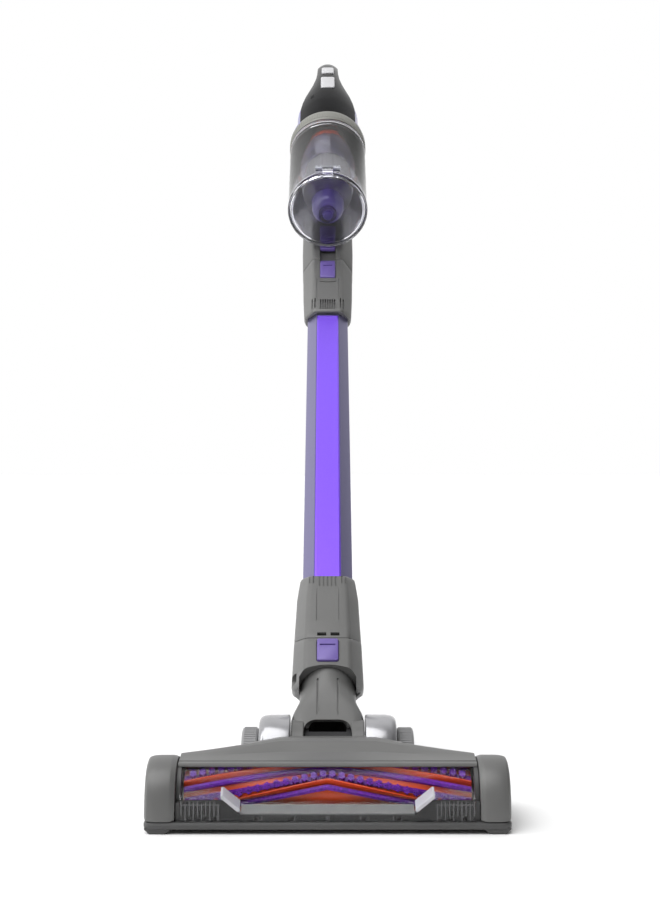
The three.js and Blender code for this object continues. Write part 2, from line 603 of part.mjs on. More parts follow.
// The door is a shallow lid over the mouth, with a knuckle at its front for the hinge pin
function binDoor() {
  const disc = cut(rodZ(690, 740, 0, BIN_AXIS, BIN_R + 0.6, 32), mouthCutter(-6.3));
  const lid = disc.intersect(mouthCutter(-GAP));
  const hollow = cut(rodZ(680, 745, 0, BIN_AXIS, BIN_R - BIN_WALL, 32), mouthCutter(-4))
    .intersect(mouthCutter(2));
  const [hy, hz] = HINGE;
  const knuckle = join(rodX(-6, 6, hy, hz, 3.4, 12), box(-6, 6, hy - 3, hy + 6, hz - 8, hz - 1.2));
  return cut(join(cut(lid, hollow), knuckle), rodX(-20, 20, hy, hz, 1.7, 12));
}

// Handheld housing: motor barrel, foot over the nose, and the loop of the handle
const BARREL = [
  [0, NOSE_TOP + GAP], [44.5, NOSE_TOP + GAP], [44.5, 873], [38.5, 880],
  [38, 926], [30, 952], [15, 984], [0, 990],
];
const HANDLE_SIDE = [
  [-100, 940], [-102, 990], [-96, 1039], [-83, 1074], [-66, 1092], [-50, HANDLE_TOP], [-30, 1082],
  [-12, 1058], [10, 1026], [32, 1004], [47, 992], [47, 972.5], [2, 972.5], [-10, 984], [-24, 1004],
  [-42, 1030], [-54, 1041], [-66, 1034], [-70, 1010], [-66, 975], [-60, 940],
];

// Top cover: the dark panel that carries the controls, from the bin ring to the top of the handle
const COVER_END = 1089;
const POWER_KEY = [943, 985.5];
const BOOST_KEY = [1005, 1036];
const TOP_ROWS = [
  // along the wand, ridge, half width, drop at the edge
  [NOSE_TOP + GAP, 118.5, 30, 13],
  [900, 119, 30, 13],
  [925, 117.5, 28, 12],
  [957, 113.5, 21, 9],
  [999.5, 106.5, 15, 7],
  [1048, 95, 12.5, 6],
  [1074, 85.2, 11.5, 5.5],
  [COVER_END, 76, 9.5, 4.5],
];
const coverArch = (z, drop, thick, lift = 0) => {
  const [ridge, half, fall] = between(TOP_ROWS, z);
  const over = [-1, -0.7, -0.35, 0, 0.35, 0.7, 1]
    .map((t) => [t * (half + lift), -(ridge - fall * t * t) + drop]);
  return [...over, ...[...over].reverse().map(([x, y]) => [x, y + thick])];
};
const TOP_STATIONS = TOP_ROWS.map((row) => row[0]);
const topCover = () => solidOf(sweepZ((z) => coverArch(z, 0, 2.6), TOP_STATIONS));
const topRecess = () =>
  join(
    solidOf(sweepZ((z) => coverArch(z, -30, 32.9, GAP), TOP_STATIONS)),
    solidOf(sweepZ(() => coverArch(COVER_END, -30, 32.9, GAP), [COVER_END - 0.1, COVER_END + GAP])),
  );

// A block that follows the ridge of the top cover: rise above it, depth below it
const keyBlock = (half, z0, z1, rise, depth) =>
  solidOf(sweepZ((z) => {
    const [ridge] = between(TOP_ROWS, z);
    return [[-half, -ridge - rise], [half, -ridge - rise], [half, -ridge + depth], [-half, -ridge + depth]];
  }, [z0, (z0 + z1) / 2, z1]));

function housingWhole() {
  const handle = prismX(HANDLE_SIDE, -13.5, 13.5);
  const foot = join(
    faceted([
      [NOSE_TOP + GAP, 36, 59.5, 36, 27, 10, 10, 25],
      [888, 34, 56, 34, 27, 10, 10, 24],
    ]),
    box(-22, 22, -60, -20, NOSE_TOP + GAP, 888),
    box(-23, 23, 10, 47, 872, 888),
    box(-23, 23, 2, 47, 972.5, 984),
  );
  const cavity = turned([[0, NOSE_TOP - 2], [35, NOSE_TOP - 2], [35, 930], [24, 955], [0, 958]], BIN_AXIS, 32);
  const vents = [-2, -1, 0, 1, 2]
    .map((i) => box(-60, 60, BIN_AXIS - 2 + i * 9, BIN_AXIS + 2 + i * 9, 926, 946));
  return cut(
    join(turned(BARREL, BIN_AXIS, 28), handle, foot),
    cavity, topRecess(), ...vents,
    keyBlock(9.3, POWER_KEY[0] - 0.5, POWER_KEY[1] + 0.5, 0, 6),
    keyBlock(8.5, BOOST_KEY[0] - 0.5, BOOST_KEY[1] + 0.5, 0, 6),
    box(-8.5, 8.5, -113, -91, POWER_KEY[0] + 1, POWER_KEY[1] - 1),
  );
}

function handheldParts() {
  add(wand, "nose_housing", noseHousing(), grey);
  const seal = cut(
    rodY(-31.5, -27.3, 0, 830, 17),
    rodY(-40, -20, 0, 830, 13),
    rodZ(800, 860, 0, BIN_AXIS, BIN_R + 0.4, 32),
  );
  add(wand, "inlet_seal", seal, rubber);
  const whole = housingWhole();
  add(wand, "housing_right", whole.intersect(box(GAP / 2, 90, -150, 80, 860, 1100)), purple);
  add(wand, "housing_left", whole.intersect(box(-90, -GAP / 2, -150, 80, 860, 1100)), purple);

  const keys = join(
    box(-9.1, 9.1, -130, -90, POWER_KEY[0] - 0.5, POWER_KEY[1] + 0.5),
    box(-8.3, 8.3, -130, -60, BOOST_KEY[0] - 0.5, BOOST_KEY[1] + 0.5),
  );
  add(wand, "top_cover", cut(topCover(), keys), black);
  add(wand, "power_button", keyBlock(8.8, ...POWER_KEY, 1.2, 4), buttonGrey);
  add(wand, "boost_button", keyBlock(8, ...BOOST_KEY, 1.0, 4), buttonGrey);
  add(wand, "control_board", box(-7.5, 7.5, -98, -96, POWER_KEY[0] + 2, POWER_KEY[1] - 2), board);

  const motor = join(
    rodZ(905, 945, 0, BIN_AXIS, 22, 20),
    rodZ(896, 906, 0, BIN_AXIS, 30, 24),
  );
  add(wand, "suction_motor", cut(motor, rodZ(895, 900, 0, BIN_AXIS, 4, 16)), steel);
  add(
    wand, "suction_fan",
    join(
      rodZ(880, 894, 0, BIN_AXIS, 12, 20),
      rodZ(880, 883, 0, BIN_AXIS, 31, 24),
      rodZ(893, 899, 0, BIN_AXIS, 3, 12),
    ),
    purple,
  );

  // Filter cleaner: the ring that is turned by hand, with the filter that hangs from it in the bin
  const ring = turned(
    [
      [38.4, BIN_TOP], [45.6, BIN_TOP], [46, BIN_TOP + 4], [46, NOSE_TOP - 6], [45, NOSE_TOP - GAP],
      [38.4, NOSE_TOP - GAP], [38.4, BIN_TOP],
    ],
    BIN_AXIS, 32,
  );
  add(wand, "filter_ring", ring, grey);
  const frame = turned(
    [
      [28.2, 826], [37, 826], [39, 830], [39, BIN_TOP - 3], [37, BIN_TOP - 1], [37, 866], [30, 866],
      [28.2, 850], [28.2, 826],
    ],
    BIN_AXIS, 24,
  );
  add(wand, "filter_frame", frame, orange);
  const screen = turned([[26, 753], [27.7, 753], [27.7, 850], [26, 850], [26, 753]], BIN_AXIS, 24);
  add(wand, "filter_screen", screen, meshGrey);
  const pleats = turned([[19, 754], [25.4, 754], [25.4, 849], [19, 849], [19, 754]], BIN_AXIS, 24);
  add(wand, "pleated_filter", pleats, buttonGrey);
  const skirt = turned(
    [[28.2, 800], [30, 800], [40.5, 822], [40.5, 825], [39, 825], [28.2, 806], [28.2, 800]],
    BIN_AXIS, 24,
  );
  add(wand, "separator_skirt", skirt, purple);
  const tip = join(
    rodZ(744, 752.6, 0, BIN_AXIS, 27, 24),
    turned([[0, 722], [12, 722], [16, 726], [17.6, 732], [17.6, 746], [0, 746], [0, 722]], TIP_AXIS, 24),
    rodZ(717, 723, 0, TIP_AXIS, 10.2),
  );
  add(wand, "filter_tip", tip, purple);

  add(wand, "bin_body", binBody(), clear);
  add(wand, "bin_door", binDoor(), clear);
  add(wand, "bin_door_pin", rodX(-15, 15, HINGE[0], HINGE[1], 1.4, 12), steel);
  add(wand, "bin_latch", pressButton(8.9, -28.9, -24.4, 704, 756), purple);
  add(wand, "bin_latch_spring", buttonSpring(-24, -18, 740), steel);

  const pack = solidOf(sweepZ(() => facets([34, 52, 34, -10.5, -16, 42, 47]), [888.4, 972]));
  add(wand, "battery_pack", pack, black);
  add(wand, "battery_latch", box(-8, 8, 47.3, 49.5, 940, 962), buttonGrey);
}

headParts();
wandParts();
handheldParts();

// ---------- assembly ----------
const vacuum = new THREE.Group();
wand.position.set(0, PIVOT.y, PIVOT.z);
wand.rotation.x = -THREE.MathUtils.degToRad(LEAN);
vacuum.add(head, wand);
const bounds = new THREE.Box3().setFromObject(vacuum, true);
const middle = (bounds.min.y + bounds.max.y) / 2;
head.position.y -= middle;
wand.position.y -= middle;

export default vacuum;
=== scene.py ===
# A cordless stick vacuum leaning back from its floor head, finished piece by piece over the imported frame.
# Sizes are in millimetres. HEAD places a piece on the floor head, whose front edge is at y = 0. WAND places
# a piece on the wand, upright over the tilt axis with its front towards -Y, and leans it back.
import json
import math

import bmesh
import bpy
from mathutils import Matrix, Vector
from mathutils.geometry import interpolate_bezier


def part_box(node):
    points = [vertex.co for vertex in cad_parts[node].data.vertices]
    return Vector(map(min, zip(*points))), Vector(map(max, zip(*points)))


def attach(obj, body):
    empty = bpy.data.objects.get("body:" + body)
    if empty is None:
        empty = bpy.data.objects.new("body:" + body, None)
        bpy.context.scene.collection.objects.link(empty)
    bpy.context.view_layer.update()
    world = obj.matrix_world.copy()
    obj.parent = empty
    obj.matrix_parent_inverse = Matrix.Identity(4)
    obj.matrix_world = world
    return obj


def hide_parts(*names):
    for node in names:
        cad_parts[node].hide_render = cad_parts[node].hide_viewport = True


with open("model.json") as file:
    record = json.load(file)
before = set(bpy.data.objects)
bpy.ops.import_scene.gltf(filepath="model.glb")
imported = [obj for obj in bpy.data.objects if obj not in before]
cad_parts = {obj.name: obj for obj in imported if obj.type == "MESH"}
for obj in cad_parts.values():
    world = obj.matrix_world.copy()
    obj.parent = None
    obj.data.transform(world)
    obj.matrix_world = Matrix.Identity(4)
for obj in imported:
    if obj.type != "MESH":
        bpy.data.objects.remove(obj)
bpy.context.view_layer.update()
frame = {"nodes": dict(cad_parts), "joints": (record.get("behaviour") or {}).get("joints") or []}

joint = {j["name"]: j for j in frame["joints"]}
pivot = Vector(joint["head_tilt"]["pos_m"])
down_wand = joint["wand_pull_off"]["axis"]
lean = math.atan2(-down_wand[1], -down_wand[2])
head_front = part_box("bumper_frame")[0].y
HEAD = Matrix.Translation((0, head_front, 0)) @ Matrix.Scale(0.001, 4)
WAND = Matrix.Translation(pivot) @ Matrix.Rotation(-lean, 4, "X") @ Matrix.Scale(0.001, 4)
PIVOT_Y, PIVOT_Z = (pivot.y - head_front) * 1000, pivot.z * 1000


# ---------- camera ----------
# Level and low, a metre in front of the head, so that the wand runs away from the eye.
EYE_HEIGHT, EYE_DISTANCE = 0.2802, 1.0189
camera_data = bpy.data.cameras.new("camera")
camera_data.lens = 56
camera_data.sensor_width = 36
camera_data.clip_start = 0.05
camera = bpy.data.objects.new("camera", camera_data)
camera.location = 0, head_front - EYE_DISTANCE, EYE_HEIGHT
camera.rotation_euler = math.radians(90), 0, math.radians(-0.094)
bpy.context.scene.collection.objects.link(camera)
bpy.context.scene.camera = camera


# ---------- end caps ----------
# Solid-looking wings of grey ABS at both ends of the head, with a crowned front and a spark-eroded matt
# skin. They are screwed to the housing's end walls, and the left one covers the belt drive.
def linear(hex_colour, brightness=1.0):
    """An sRGB hex colour as linear light, made a little lighter or darker."""
    parts = [int(hex_colour[i:i + 2], 16) / 255 for i in (1, 3, 5)]
    parts = [c / 12.92 if c <= 0.04045 else ((c + 0.055) / 1.055) ** 2.4 for c in parts]
    return (*[min(1, c * brightness) for c in parts], 1)


def add_node(material, kind, sockets=None, **settings):
    """A shader node with its settings; a socket takes a number, a colour or another node's output."""
    node = material.node_tree.nodes.new(kind)
    for name, value in settings.items():
        setattr(node, name, value)
    for name, value in (sockets or {}).items():
        if isinstance(value, bpy.types.NodeSocket):
            material.node_tree.links.new(value, node.inputs[name])
        else:
            node.inputs[name].default_value = value
    return node


def new_material(name, **shader_values):
    """A material, its shader and the piece's own coordinates."""
    material = bpy.data.materials.new(name)
    material.use_nodes = True
    shader = material.node_tree.nodes["Principled BSDF"]
    for socket, value in shader_values.items():
        shader.inputs[socket.replace("_", " ")].default_value = value
    place = add_node(material, "ShaderNodeTexCoord").outputs["Object"]
    return material, shader, place


def join(material, output, shader, socket):
    material.node_tree.links.new(output, shader.inputs[socket])


def two_tones(material, factor, dark, light, low=0.35, high=0.65):
    """Runs from one colour to another as a pattern rises."""
    ramp = add_node(material, "ShaderNodeValToRGB", {"Fac": factor})
    ramp.color_ramp.elements[0].position, ramp.color_ramp.elements[0].color = low, dark
    ramp.color_ramp.elements[1].position, ramp.color_ramp.elements[1].color = high, light
    return ramp.outputs["Color"]


GRAIN = 0.8


def moulded_plastic(name, colour, roughness, depth=0.03, drift=0.05, coat=0.0):
    """Injection-moulded plastic. The eroded grain is drawn near 0.8 mm, coarser than the real 0.1 mm, so
    that it shows, and faint 40 mm drifts of tone follow the flow of the melt."""
    material, shader, place = new_material(name, IOR=1.53, Coat_Weight=coat, Coat_Roughness=0.06)
    flow = add_node(material, "ShaderNodeTexNoise", {"Vector": place, "Scale": 1 / 0.040, "Detail": 3})
    tone = two_tones(material, flow.outputs["Fac"], linear(colour, 1 - drift), linear(colour, 1 + drift))
    spark = add_node(material, "ShaderNodeTexNoise", {"Vector": place, "Scale": 1000 / GRAIN, "Detail": 2})
    sheen = add_node(material, "ShaderNodeMapRange", {
        "Value": spark.outputs["Fac"], "To Min": roughness - 0.05, "To Max": roughness + 0.05})
    relief = add_node(material, "ShaderNodeBump", {
        "Height": spark.outputs["Fac"], "Strength": 0.3, "Distance": depth / 1000})
    join(material, tone, shader, "Base Color")
    join(material, sheen.outputs["Result"], shader, "Roughness")
    join(material, relief.outputs["Normal"], shader, "Normal")
    return material


def patterned(name, size, detail, tones=None, sheen=None, relief=None, **shader_values):
    """A material with one noise pattern of a size in mm, which moves the colour between two tones, the
    roughness between two values and the surface by a strength and a depth in mm."""
    material, shader, place = new_material(name, **shader_values)
    noise = add_node(material, "ShaderNodeTexNoise", {
        "Vector": place, "Scale": 1000 / size, "Detail": detail}).outputs["Fac"]
    if tones:
        join(material, two_tones(material, noise, *map(linear, tones)), shader, "Base Color")
    if sheen:
        roughness = add_node(
            material, "ShaderNodeMapRange", {"Value": noise, "To Min": sheen[0], "To Max": sheen[1]})
        join(material, roughness.outputs["Result"], shader, "Roughness")
    if relief:
        bump = add_node(material, "ShaderNodeBump", {
            "Height": noise, "Strength": relief[0], "Distance": relief[1] / 1000})
        join(material, bump.outputs["Normal"], shader, "Normal")
    return material


def mix(a, b, t):
    return a + (b - a) * t


def share(v, low, high):
    return min(1, max(0, (v - low) / (high - low)))


def outline_loop(bm, points):
    """A closed loop of edges through a few points."""
    verts = [bm.verts.new(p) for p in points]
    return [bm.edges.new(pair) for pair in zip(verts, verts[1:] + verts[:1])]


def skinned(bm, outlines):
    """Bridges one closed outline to the next and fills both ends."""
    loops = [outline_loop(bm, points) for points in outlines]
    for low, high in zip(loops, loops[1:]):
        bmesh.ops.bridge_loops(bm, edges=low + high)
    bmesh.ops.edgeloop_fill(bm, edges=loops[0])
    bmesh.ops.edgeloop_fill(bm, edges=loops[-1])
    return bm


def solid(outlines):
    return skinned(bmesh.new(), outlines)


def fitted(node, bm, place, material, body, edge=0.4, segments=2, sharp=32, name=None):
    """Puts mesh work in place as a piece and rounds its edges by a size in mm. The piece moves with a body,
    takes a material and stands in for a part of the frame, which it hides and whose name it takes if it has
    none of its own."""
    name = name or node
    bmesh.ops.remove_doubles(bm, verts=bm.verts, dist=1e-3)
    bmesh.ops.recalc_face_normals(bm, faces=bm.faces)
    bm.transform(place)
    mesh = bpy.data.meshes.new(name)
    bm.to_mesh(mesh)
    bm.free()
    mesh.materials.append(material)
    mesh.shade_smooth()
    mesh.set_sharp_from_angle(angle=math.radians(sharp))
    piece = bpy.data.objects.new(name, mesh)
    bpy.context.scene.collection.objects.link(piece)
    if edge:
        rounding = piece.modifiers.new("rounded edges", "BEVEL")
        rounding.width = edge / 1000
        rounding.segments = segments
        rounding.limit_method = "ANGLE"
        rounding.angle_limit = math.radians(sharp - 2)
        rounding.harden_normals = True
    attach(piece, body)
    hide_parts(node)


grey_abs = moulded_plastic("spark_eroded_grey_abs", "#626261", 0.40)

CAP_IN, CAP_OUT, CAP_BASE = 112.0, 134.6, 9.0
crown = interpolate_bezier((0.4, 12, 0), (1.8, 37, 0), (13, 50.4, 0), (34, 50.9, 0), 18)
cap_side = [
    (0.4, CAP_BASE), *[(p.x, p.y) for p in crown], (42, 49.4), (50, 47.6), (60, 45), (70, 41.5), (78, 37),
    (82.5, 31), (84, 24), (84, CAP_BASE)]
cap_sizes = (
    (CAP_IN, 0.945), (CAP_IN + 3.4, 0.995), (CAP_IN + 4.2, 1), (126, 1), (130, 0.99), (132.6, 0.965),
    (134, 0.92), (CAP_OUT, 0.86))
for side, name in ((1, "end_cap_right"), (-1, "end_cap_left")):
    bm = solid([
        [(side * x, mix(42, y, k), max(CAP_BASE, mix(22, z, k))) for y, z in cap_side]
        for x, k in cap_sizes])
    fitted(name, bm, HEAD, grey_abs, "floor_head", edge=0.5, sharp=24)


# ---------- bumper frame ----------
# One U-shaped moulding in darker ABS under the window and both caps. Its front corners step down into feet,
# and its rounded top edge catches the light as a thin line.
dark_abs = moulded_plastic("fine_matt_dark_abs", "#454545", 0.46)

BUMPER_LOW, BUMPER_TOP, HEAD_HALF, CORNER = 3.4, 8.7, 135, 7


def bumper_plan(inset):
    corner = [(HEAD_HALF - CORNER + (CORNER - inset) * math.cos(math.radians(t)),
               CORNER - (CORNER - inset) * math.sin(math.radians(t))) for t in range(0, 91, 10)]
    right = [(HEAD_HALF - inset, 79), *corner]
    return right + [(-x, y) for x, y in reversed(right)] + [
        (-CAP_IN, 79), (-CAP_IN, 6), (CAP_IN, 6), (CAP_IN, 79)]


bumper_steps = (
    (BUMPER_LOW, 1.4), (4, 0.5), (4.8, 0.15), (7.2, 0.05), (7.5, 0.5), (7.8, 0.5), (8.3, 0.75),
    (BUMPER_TOP, 1.7))
bm = solid([[(x, y, z) for x, y in bumper_plan(inset)] for z, inset in bumper_steps])
foot_outline = (121, 0), (130.6, 0), (134.2, 3.4), (134.2, 4.4), (113.6, 4.4), (114.4, 3.1), (118, 0.7)
for side in (1, -1):
    skinned(bm, [[(side * mix(124, x, k), y, z) for x, z in foot_outline]
                 for y, k in ((1.4, 0.95), (2.6, 1), (25, 1), (27, 0.9))])
fitted("bumper_frame", bm, HEAD, dark_abs, "floor_head", edge=0.3)


# ---------- head housing ----------
# The lower shell of dark ABS: sole plate, brush chamber and the two arms to the pivots. A rubber elbow and
# drum inside it lead the air from the chamber into the neck. They keep the shapes they have in the frame.
def carried(material, *nodes):
    """Frame parts that keep their own shape and take a material."""
    for node in nodes:
        mesh = frame["nodes"][node].data
        mesh.materials.clear()
        mesh.materials.append(material)


def eased(node, body, material, edge):
    """A copy of a frame part with merged points, flat faces and rounded edges."""
    bm = bmesh.new()
    bm.from_mesh(frame["nodes"][node].data)
    bm.transform(Matrix.Scale(1000, 4))
    bmesh.ops.remove_doubles(bm, verts=bm.verts, dist=2e-3)
    bmesh.ops.dissolve_limit(bm, angle_limit=math.radians(1.5), verts=bm.verts, edges=bm.edges)
    fitted(node, bm, Matrix.Scale(0.001, 4), material, body, edge)


rubber = patterned("moulded_black_rubber", 12, 5, ("#1c1c1e", "#29292b"), (0.6, 0.8), IOR=1.52)

eased("head_base", "floor_head", dark_abs, 0.4)
carried(rubber, "suction_duct", "duct_drum")


# ---------- head cover ----------
# A thin grey roof over brush and motor. Its crest runs back from both caps to a raised middle in front of
# the neck, and it snaps onto the housing along its rear edge.
def between(rows, at):
    """The sizes at a place, from rows of (place, size, size...)."""
    for low, high in zip(rows, rows[1:]):
        if at <= high[0]:
            break
    return [mix(a, b, share(at, low[0], high[0])) for a, b in zip(low[1:], high[1:])]


CREST_ROWS = (0, 57.6), (37, 57.2), (66.7, 53.5), (91.5, 51.1), (111.3, 49.7)


def cover_section(x):
    x = abs(x)
    out = share(x, 37, 111.3)
    cy, cz = mix(64, 46, out), between(CREST_ROWS, x)[0]
    if x < 58:
        by, bz = mix(82, 80, share(x, 37, 57)), mix(54.6, 51.4, share(x, 37, 57))
        if x < 29.7:
            by = 85.2
        rear = [(mix(cy, by, 0.5), mix(cz, bz, 0.35)), (by, bz), (by - 0.6, bz - 2.2)]
    else:
        by, bz = mix(88, 82, out), mix(50, 38.5, out)
        rear = [(mix(cy, by, 0.4), mix(cz, bz, 0.25)), (by, bz), (89.5, 24)]
    foot = rear[-1]
    vy, vz = mix(47, 38, out), mix(50.4, 48.7, out)
    front = [
        (22.3, 44.8), (22.9, 46.4), (24, 47.2), (26.6, 47.6), (27.2, 46.7), (28.6, 46.8), (29.2, 47.9),
        (mix(29.2, vy, 0.5), mix(47.9, vz, 0.42)), (vy, vz), (mix(vy, cy, 0.35), mix(vz, cz, 0.42)),
        (mix(vy, cy, 0.72), mix(vz, cz, 0.84)), (cy, cz)]
    under = [(foot[0] - 2.2, foot[1]), (rear[1][0] - 2.4, rear[1][1] - 2.4), (cy - 1.5, cz - 2.6),
             (vy, vz - 2), (33, 46.2), (28, 44.9), (24, 43.8)]
    return front + rear + under


cover_half = [0, 18, 29.5, 29.9, 37, 46, 56.8, 58.2, 66, 78, 90, 102, 111.3]
cover_x = [-x for x in reversed(cover_half[1:])] + cover_half
bm = solid([[(x, y, z) for y, z in cover_section(x)] for x in cover_x])
fitted("head_cover", bm, HEAD, grey_abs, "floor_head", edge=0.5, sharp=12)


# ---------- nozzle window ----------
# Clear polycarbonate, moulded in one: an arc over the brush, a ledge that is high at both ends and low in
# the middle, and a front skirt that stands on the bumper. Thick bevelled facets join the high and the low
# ledge.
def arc(cy, cz, r, start, end, steps):
    """Points on a round stretch, in degrees, as (y, z)."""
    turns = [math.radians(mix(start, end, i / steps)) for i in range(steps + 1)]
    return [(cy + r * math.cos(t), cz + r * math.sin(t)) for t in turns]


clear_plastic = patterned(
    "polished_clear_polycarbonate", 22, 1, relief=(0.15, 0.4), Base_Color=linear("#f4f4f8"), Roughness=0.02,
    IOR=1.585, Transmission_Weight=1.0, Alpha=0.1)

BRUSH_Y, BRUSH_Z, WINDOW_R, CHAMBER_R = 36, 23.5, 25.3, 23.5


def window_section(x):
    raised = share(abs(x), 64, 77)
    low, ledge = mix(182.3, 160.4, raised), mix(16.7, 26.9, raised)
    outer = arc(BRUSH_Y, BRUSH_Z, WINDOW_R, 123.6, low, 16)
    inner = arc(BRUSH_Y, BRUSH_Z, CHAMBER_R, low + 4, 123.6, 16)
    return outer + [(1.2, ledge + 0.5), (0.4, ledge - 0.3), (0.3, 9), (2.2, 9), (2.2, ledge - 1.6)] + inner


window_half = [64, 77, 95, 108.2]
window_x = [-x for x in reversed(window_half)] + [-32, 0, 32] + window_half
bm = solid([[(x, y, z) for y, z in window_section(x)] for x in window_x])
fitted("nozzle_window", bm, HEAD, clear_plastic, "floor_head", edge=0.25, sharp=24)

facet_plastic = patterned(
    "bevelled_polycarbonate", 8, 2, sheen=(0.12, 0.24), Base_Color=linear("#e6e6ec"), IOR=1.585,
    Transmission_Weight=0.5)
bm = bmesh.new()
for side in (1, -1):
    facet = (78.2, 28.2), (76.6, 28.3), (64.2, 18.4), (64, 16.9), (66, 16.7), (78, 26.4)
    skinned(bm, [
        [(side * x, y, z + rise) for x, z in facet]
        for y, rise in ((0.0, 0), (0.6, 0.7), (9, 4.2), (10.5, 4.4))])
fitted(
    "nozzle_window", bm, HEAD, facet_plastic, "floor_head", edge=0.25, sharp=24,
    name="window_facets")


# ---------- crumb comb ----------
# A dark ABS gate behind the skirt, low in the middle and high at both ends. Upright ribs stiffen it, and
# slots along its foot let large crumbs through to the brush.
def block(bm, x0, x1, y0, y1, z0, z1):
    """A rectangular block between two corners."""
    verts = bmesh.ops.create_cube(bm, size=1)["verts"]
    bmesh.ops.scale(bm, vec=(x1 - x0, y1 - y0, z1 - z0), verts=verts)
    bmesh.ops.translate(bm, vec=((x0 + x1) / 2, (y0 + y1) / 2, (z0 + z1) / 2), verts=verts)
    return bm


def tool_block(*corners):
    return block(bmesh.new(), *corners)


def slots(places, half, deep, low, high):
    """Upright cutters of one width, side by side through a front face."""
    return [tool_block(x - half, x + half, -40, deep, low, high) for x in places]


def cut(bm, *tools):
    """Takes tools away from a solid as a cutter would, and uses them up."""
    stock = []
    for part in (bm, *tools):
        bmesh.ops.recalc_face_normals(part, faces=part.faces)
        mesh = bpy.data.meshes.new("stock")
        part.to_mesh(mesh)
        stock.append(bpy.data.objects.new("stock", mesh))
        bpy.context.scene.collection.objects.link(stock[-1])
    for tool in stock[1:]:
        pass_of_tool = stock[0].modifiers.new("cut", "BOOLEAN")
        pass_of_tool.object, pass_of_tool.solver = tool, "EXACT"
    bpy.context.view_layer.update()
    left = bpy.data.meshes.new_from_object(stock[0].evaluated_get(bpy.context.evaluated_depsgraph_get()))
    bm.clear()
    bm.from_mesh(left)
    bpy.data.meshes.remove(left)
    for used in stock:
        bpy.data.meshes.remove(used.data)
    for tool in tools:
        tool.free()
    return bm


gate_outline = (
    (-108, 9), (108, 9), (108, 24.4), (77, 24.4), (64, 13.8), (-64, 13.8), (-77, 24.4), (-108, 24.4))
bm = solid([[(x, y, z) for x, z in gate_outline] for y in (3.6, 5.2)])
crumb_slots = [
    tool_block(x - 1.6, x + 1.6, 2, 7, 8, 12.5) for x in (-100, -91, -82, -52, -26, 0, 26, 52, 82, 91, 100)]
cut(bm, *crumb_slots)
gate_abs = moulded_plastic("fine_matt_black_abs", "#19191a", 0.5)
fitted("gate_comb", bm, HEAD, gate_abs, "floor_head", edge=0.12)
shelf_abs = moulded_plastic("polished_grey_abs", "#5c5c5d", 0.16, depth=0.005, coat=0.3)
ribs = bmesh.new()
for side in (1, -1):
    for x in range(80, 108, 3):
        block(ribs, side * x - 0.4, side * x + 0.4, 2.5, 3.6, 13 if x % 2 else 9.2, 24 if x % 4 else 22)
    block(ribs, side * 93 - 14.6, side * 93 + 14.6, 2.7, 3.6, 20.6, 21.5)
for x in range(-60, 61, 6):
    block(ribs, x - 0.35, x + 0.35, 2.5, 3.6, 9.2, 10.8 if x % 24 else 13.4)
fitted("gate_comb", ribs, HEAD, shelf_abs, "floor_head", edge=0.1, name="comb_ribs")
shelf = solid([[(x, y, z) for y, z in ((3.6, 13.7), (3.6, 14.6), (11.9, 19.4), (12.2, 18.4), (5.2, 14.2))]
                              for x in (-63.6, 63.6)])
fitted("gate_comb", shelf, HEAD, shelf_abs, "floor_head", edge=0.15, name="comb_shelf")


# ---------- brush ----------
# An orange moulded core on a steel shaft. Soft fins and rows of violet nylon tufts lead dirt to the middle
# in a V, and the belt pulley is pressed on at the left end.
def turned(bm, profile, centre, axis="X", steps=64):
    """Spins a closed profile of (along, radius) points fully round a line along an axis."""
    first, second = centre
    points, line, direction = {
        "X": ([(a, first + r, second) for a, r in profile], (0, first, second), (1, 0, 0)),
        "Y": ([(first + r, a, second) for a, r in profile], (first, 0, second), (0, 1, 0)),
        "Z": ([(first + r, second, a) for a, r in profile], (first, second, 0), (0, 0, 1)),
    }[axis]
    edges = outline_loop(bm, points)
    axle = [
        e for e, (a, b) in zip(edges, zip(profile, profile[1:] + profile[:1])) if a[1] == 0 and b[1] == 0]
    bmesh.ops.delete(bm, geom=axle, context="EDGES")
    kept = [e for e in edges if e.is_valid]
    verts = list(dict.fromkeys(v for e in kept for v in e.verts))
    bmesh.ops.spin(
        bm, geom=verts + kept, cent=line, axis=direction, angle=2 * math.pi, steps=steps, use_merge=True)
    return bm


def lathed(*shape, **settings):
    return turned(bmesh.new(), *shape, **settings)


orange_plastic = moulded_plastic("moulded_orange_abs", "#e44c12", 0.36, drift=0.07)
pile = patterned(
    "crimped_violet_nylon", 1.6, 3, ("#470d7e", "#7620b4"), relief=(0.5, 0.3), IOR=1.45, Roughness=0.5)
steel = patterned("ground_steel", 1.2, 4, sheen=(0.2, 0.38), Metallic=1.0, Base_Color=linear("#b4b6ba"))

CORE_R, CORE_HALF, STRIP_SLOPE, TUFTS = 15.4, 107, 0.62, 30
PULLEY_OUT, PULLEY_IN = -121.5, -114.5
core_profile = [(-CORE_HALF, 0), (-CORE_HALF, CORE_R), (CORE_HALF, CORE_R), (CORE_HALF, 0)]
bm = lathed(core_profile, (BRUSH_Y, BRUSH_Z), steps=48)


def on_brush(x, r, degrees):
    t = math.radians(degrees)
    return x, BRUSH_Y + r * math.cos(t), BRUSH_Z + r * math.sin(t)


fin_x = [mix(-106.6, 106.6, i / 48) for i in range(49)]
for start in (143, 83, 323, 263):
    skinned(bm, [[on_brush(x, r, start + abs(x) * STRIP_SLOPE + spread) for r, spread in (
        (15, -6), (17.2, -4), (20.4, -3.2), (20.6, -0.8), (17.4, 3.4), (15, 5.5))] for x in fin_x])
fitted("brush_core", bm, HEAD, orange_plastic, "brush", edge=0.2)

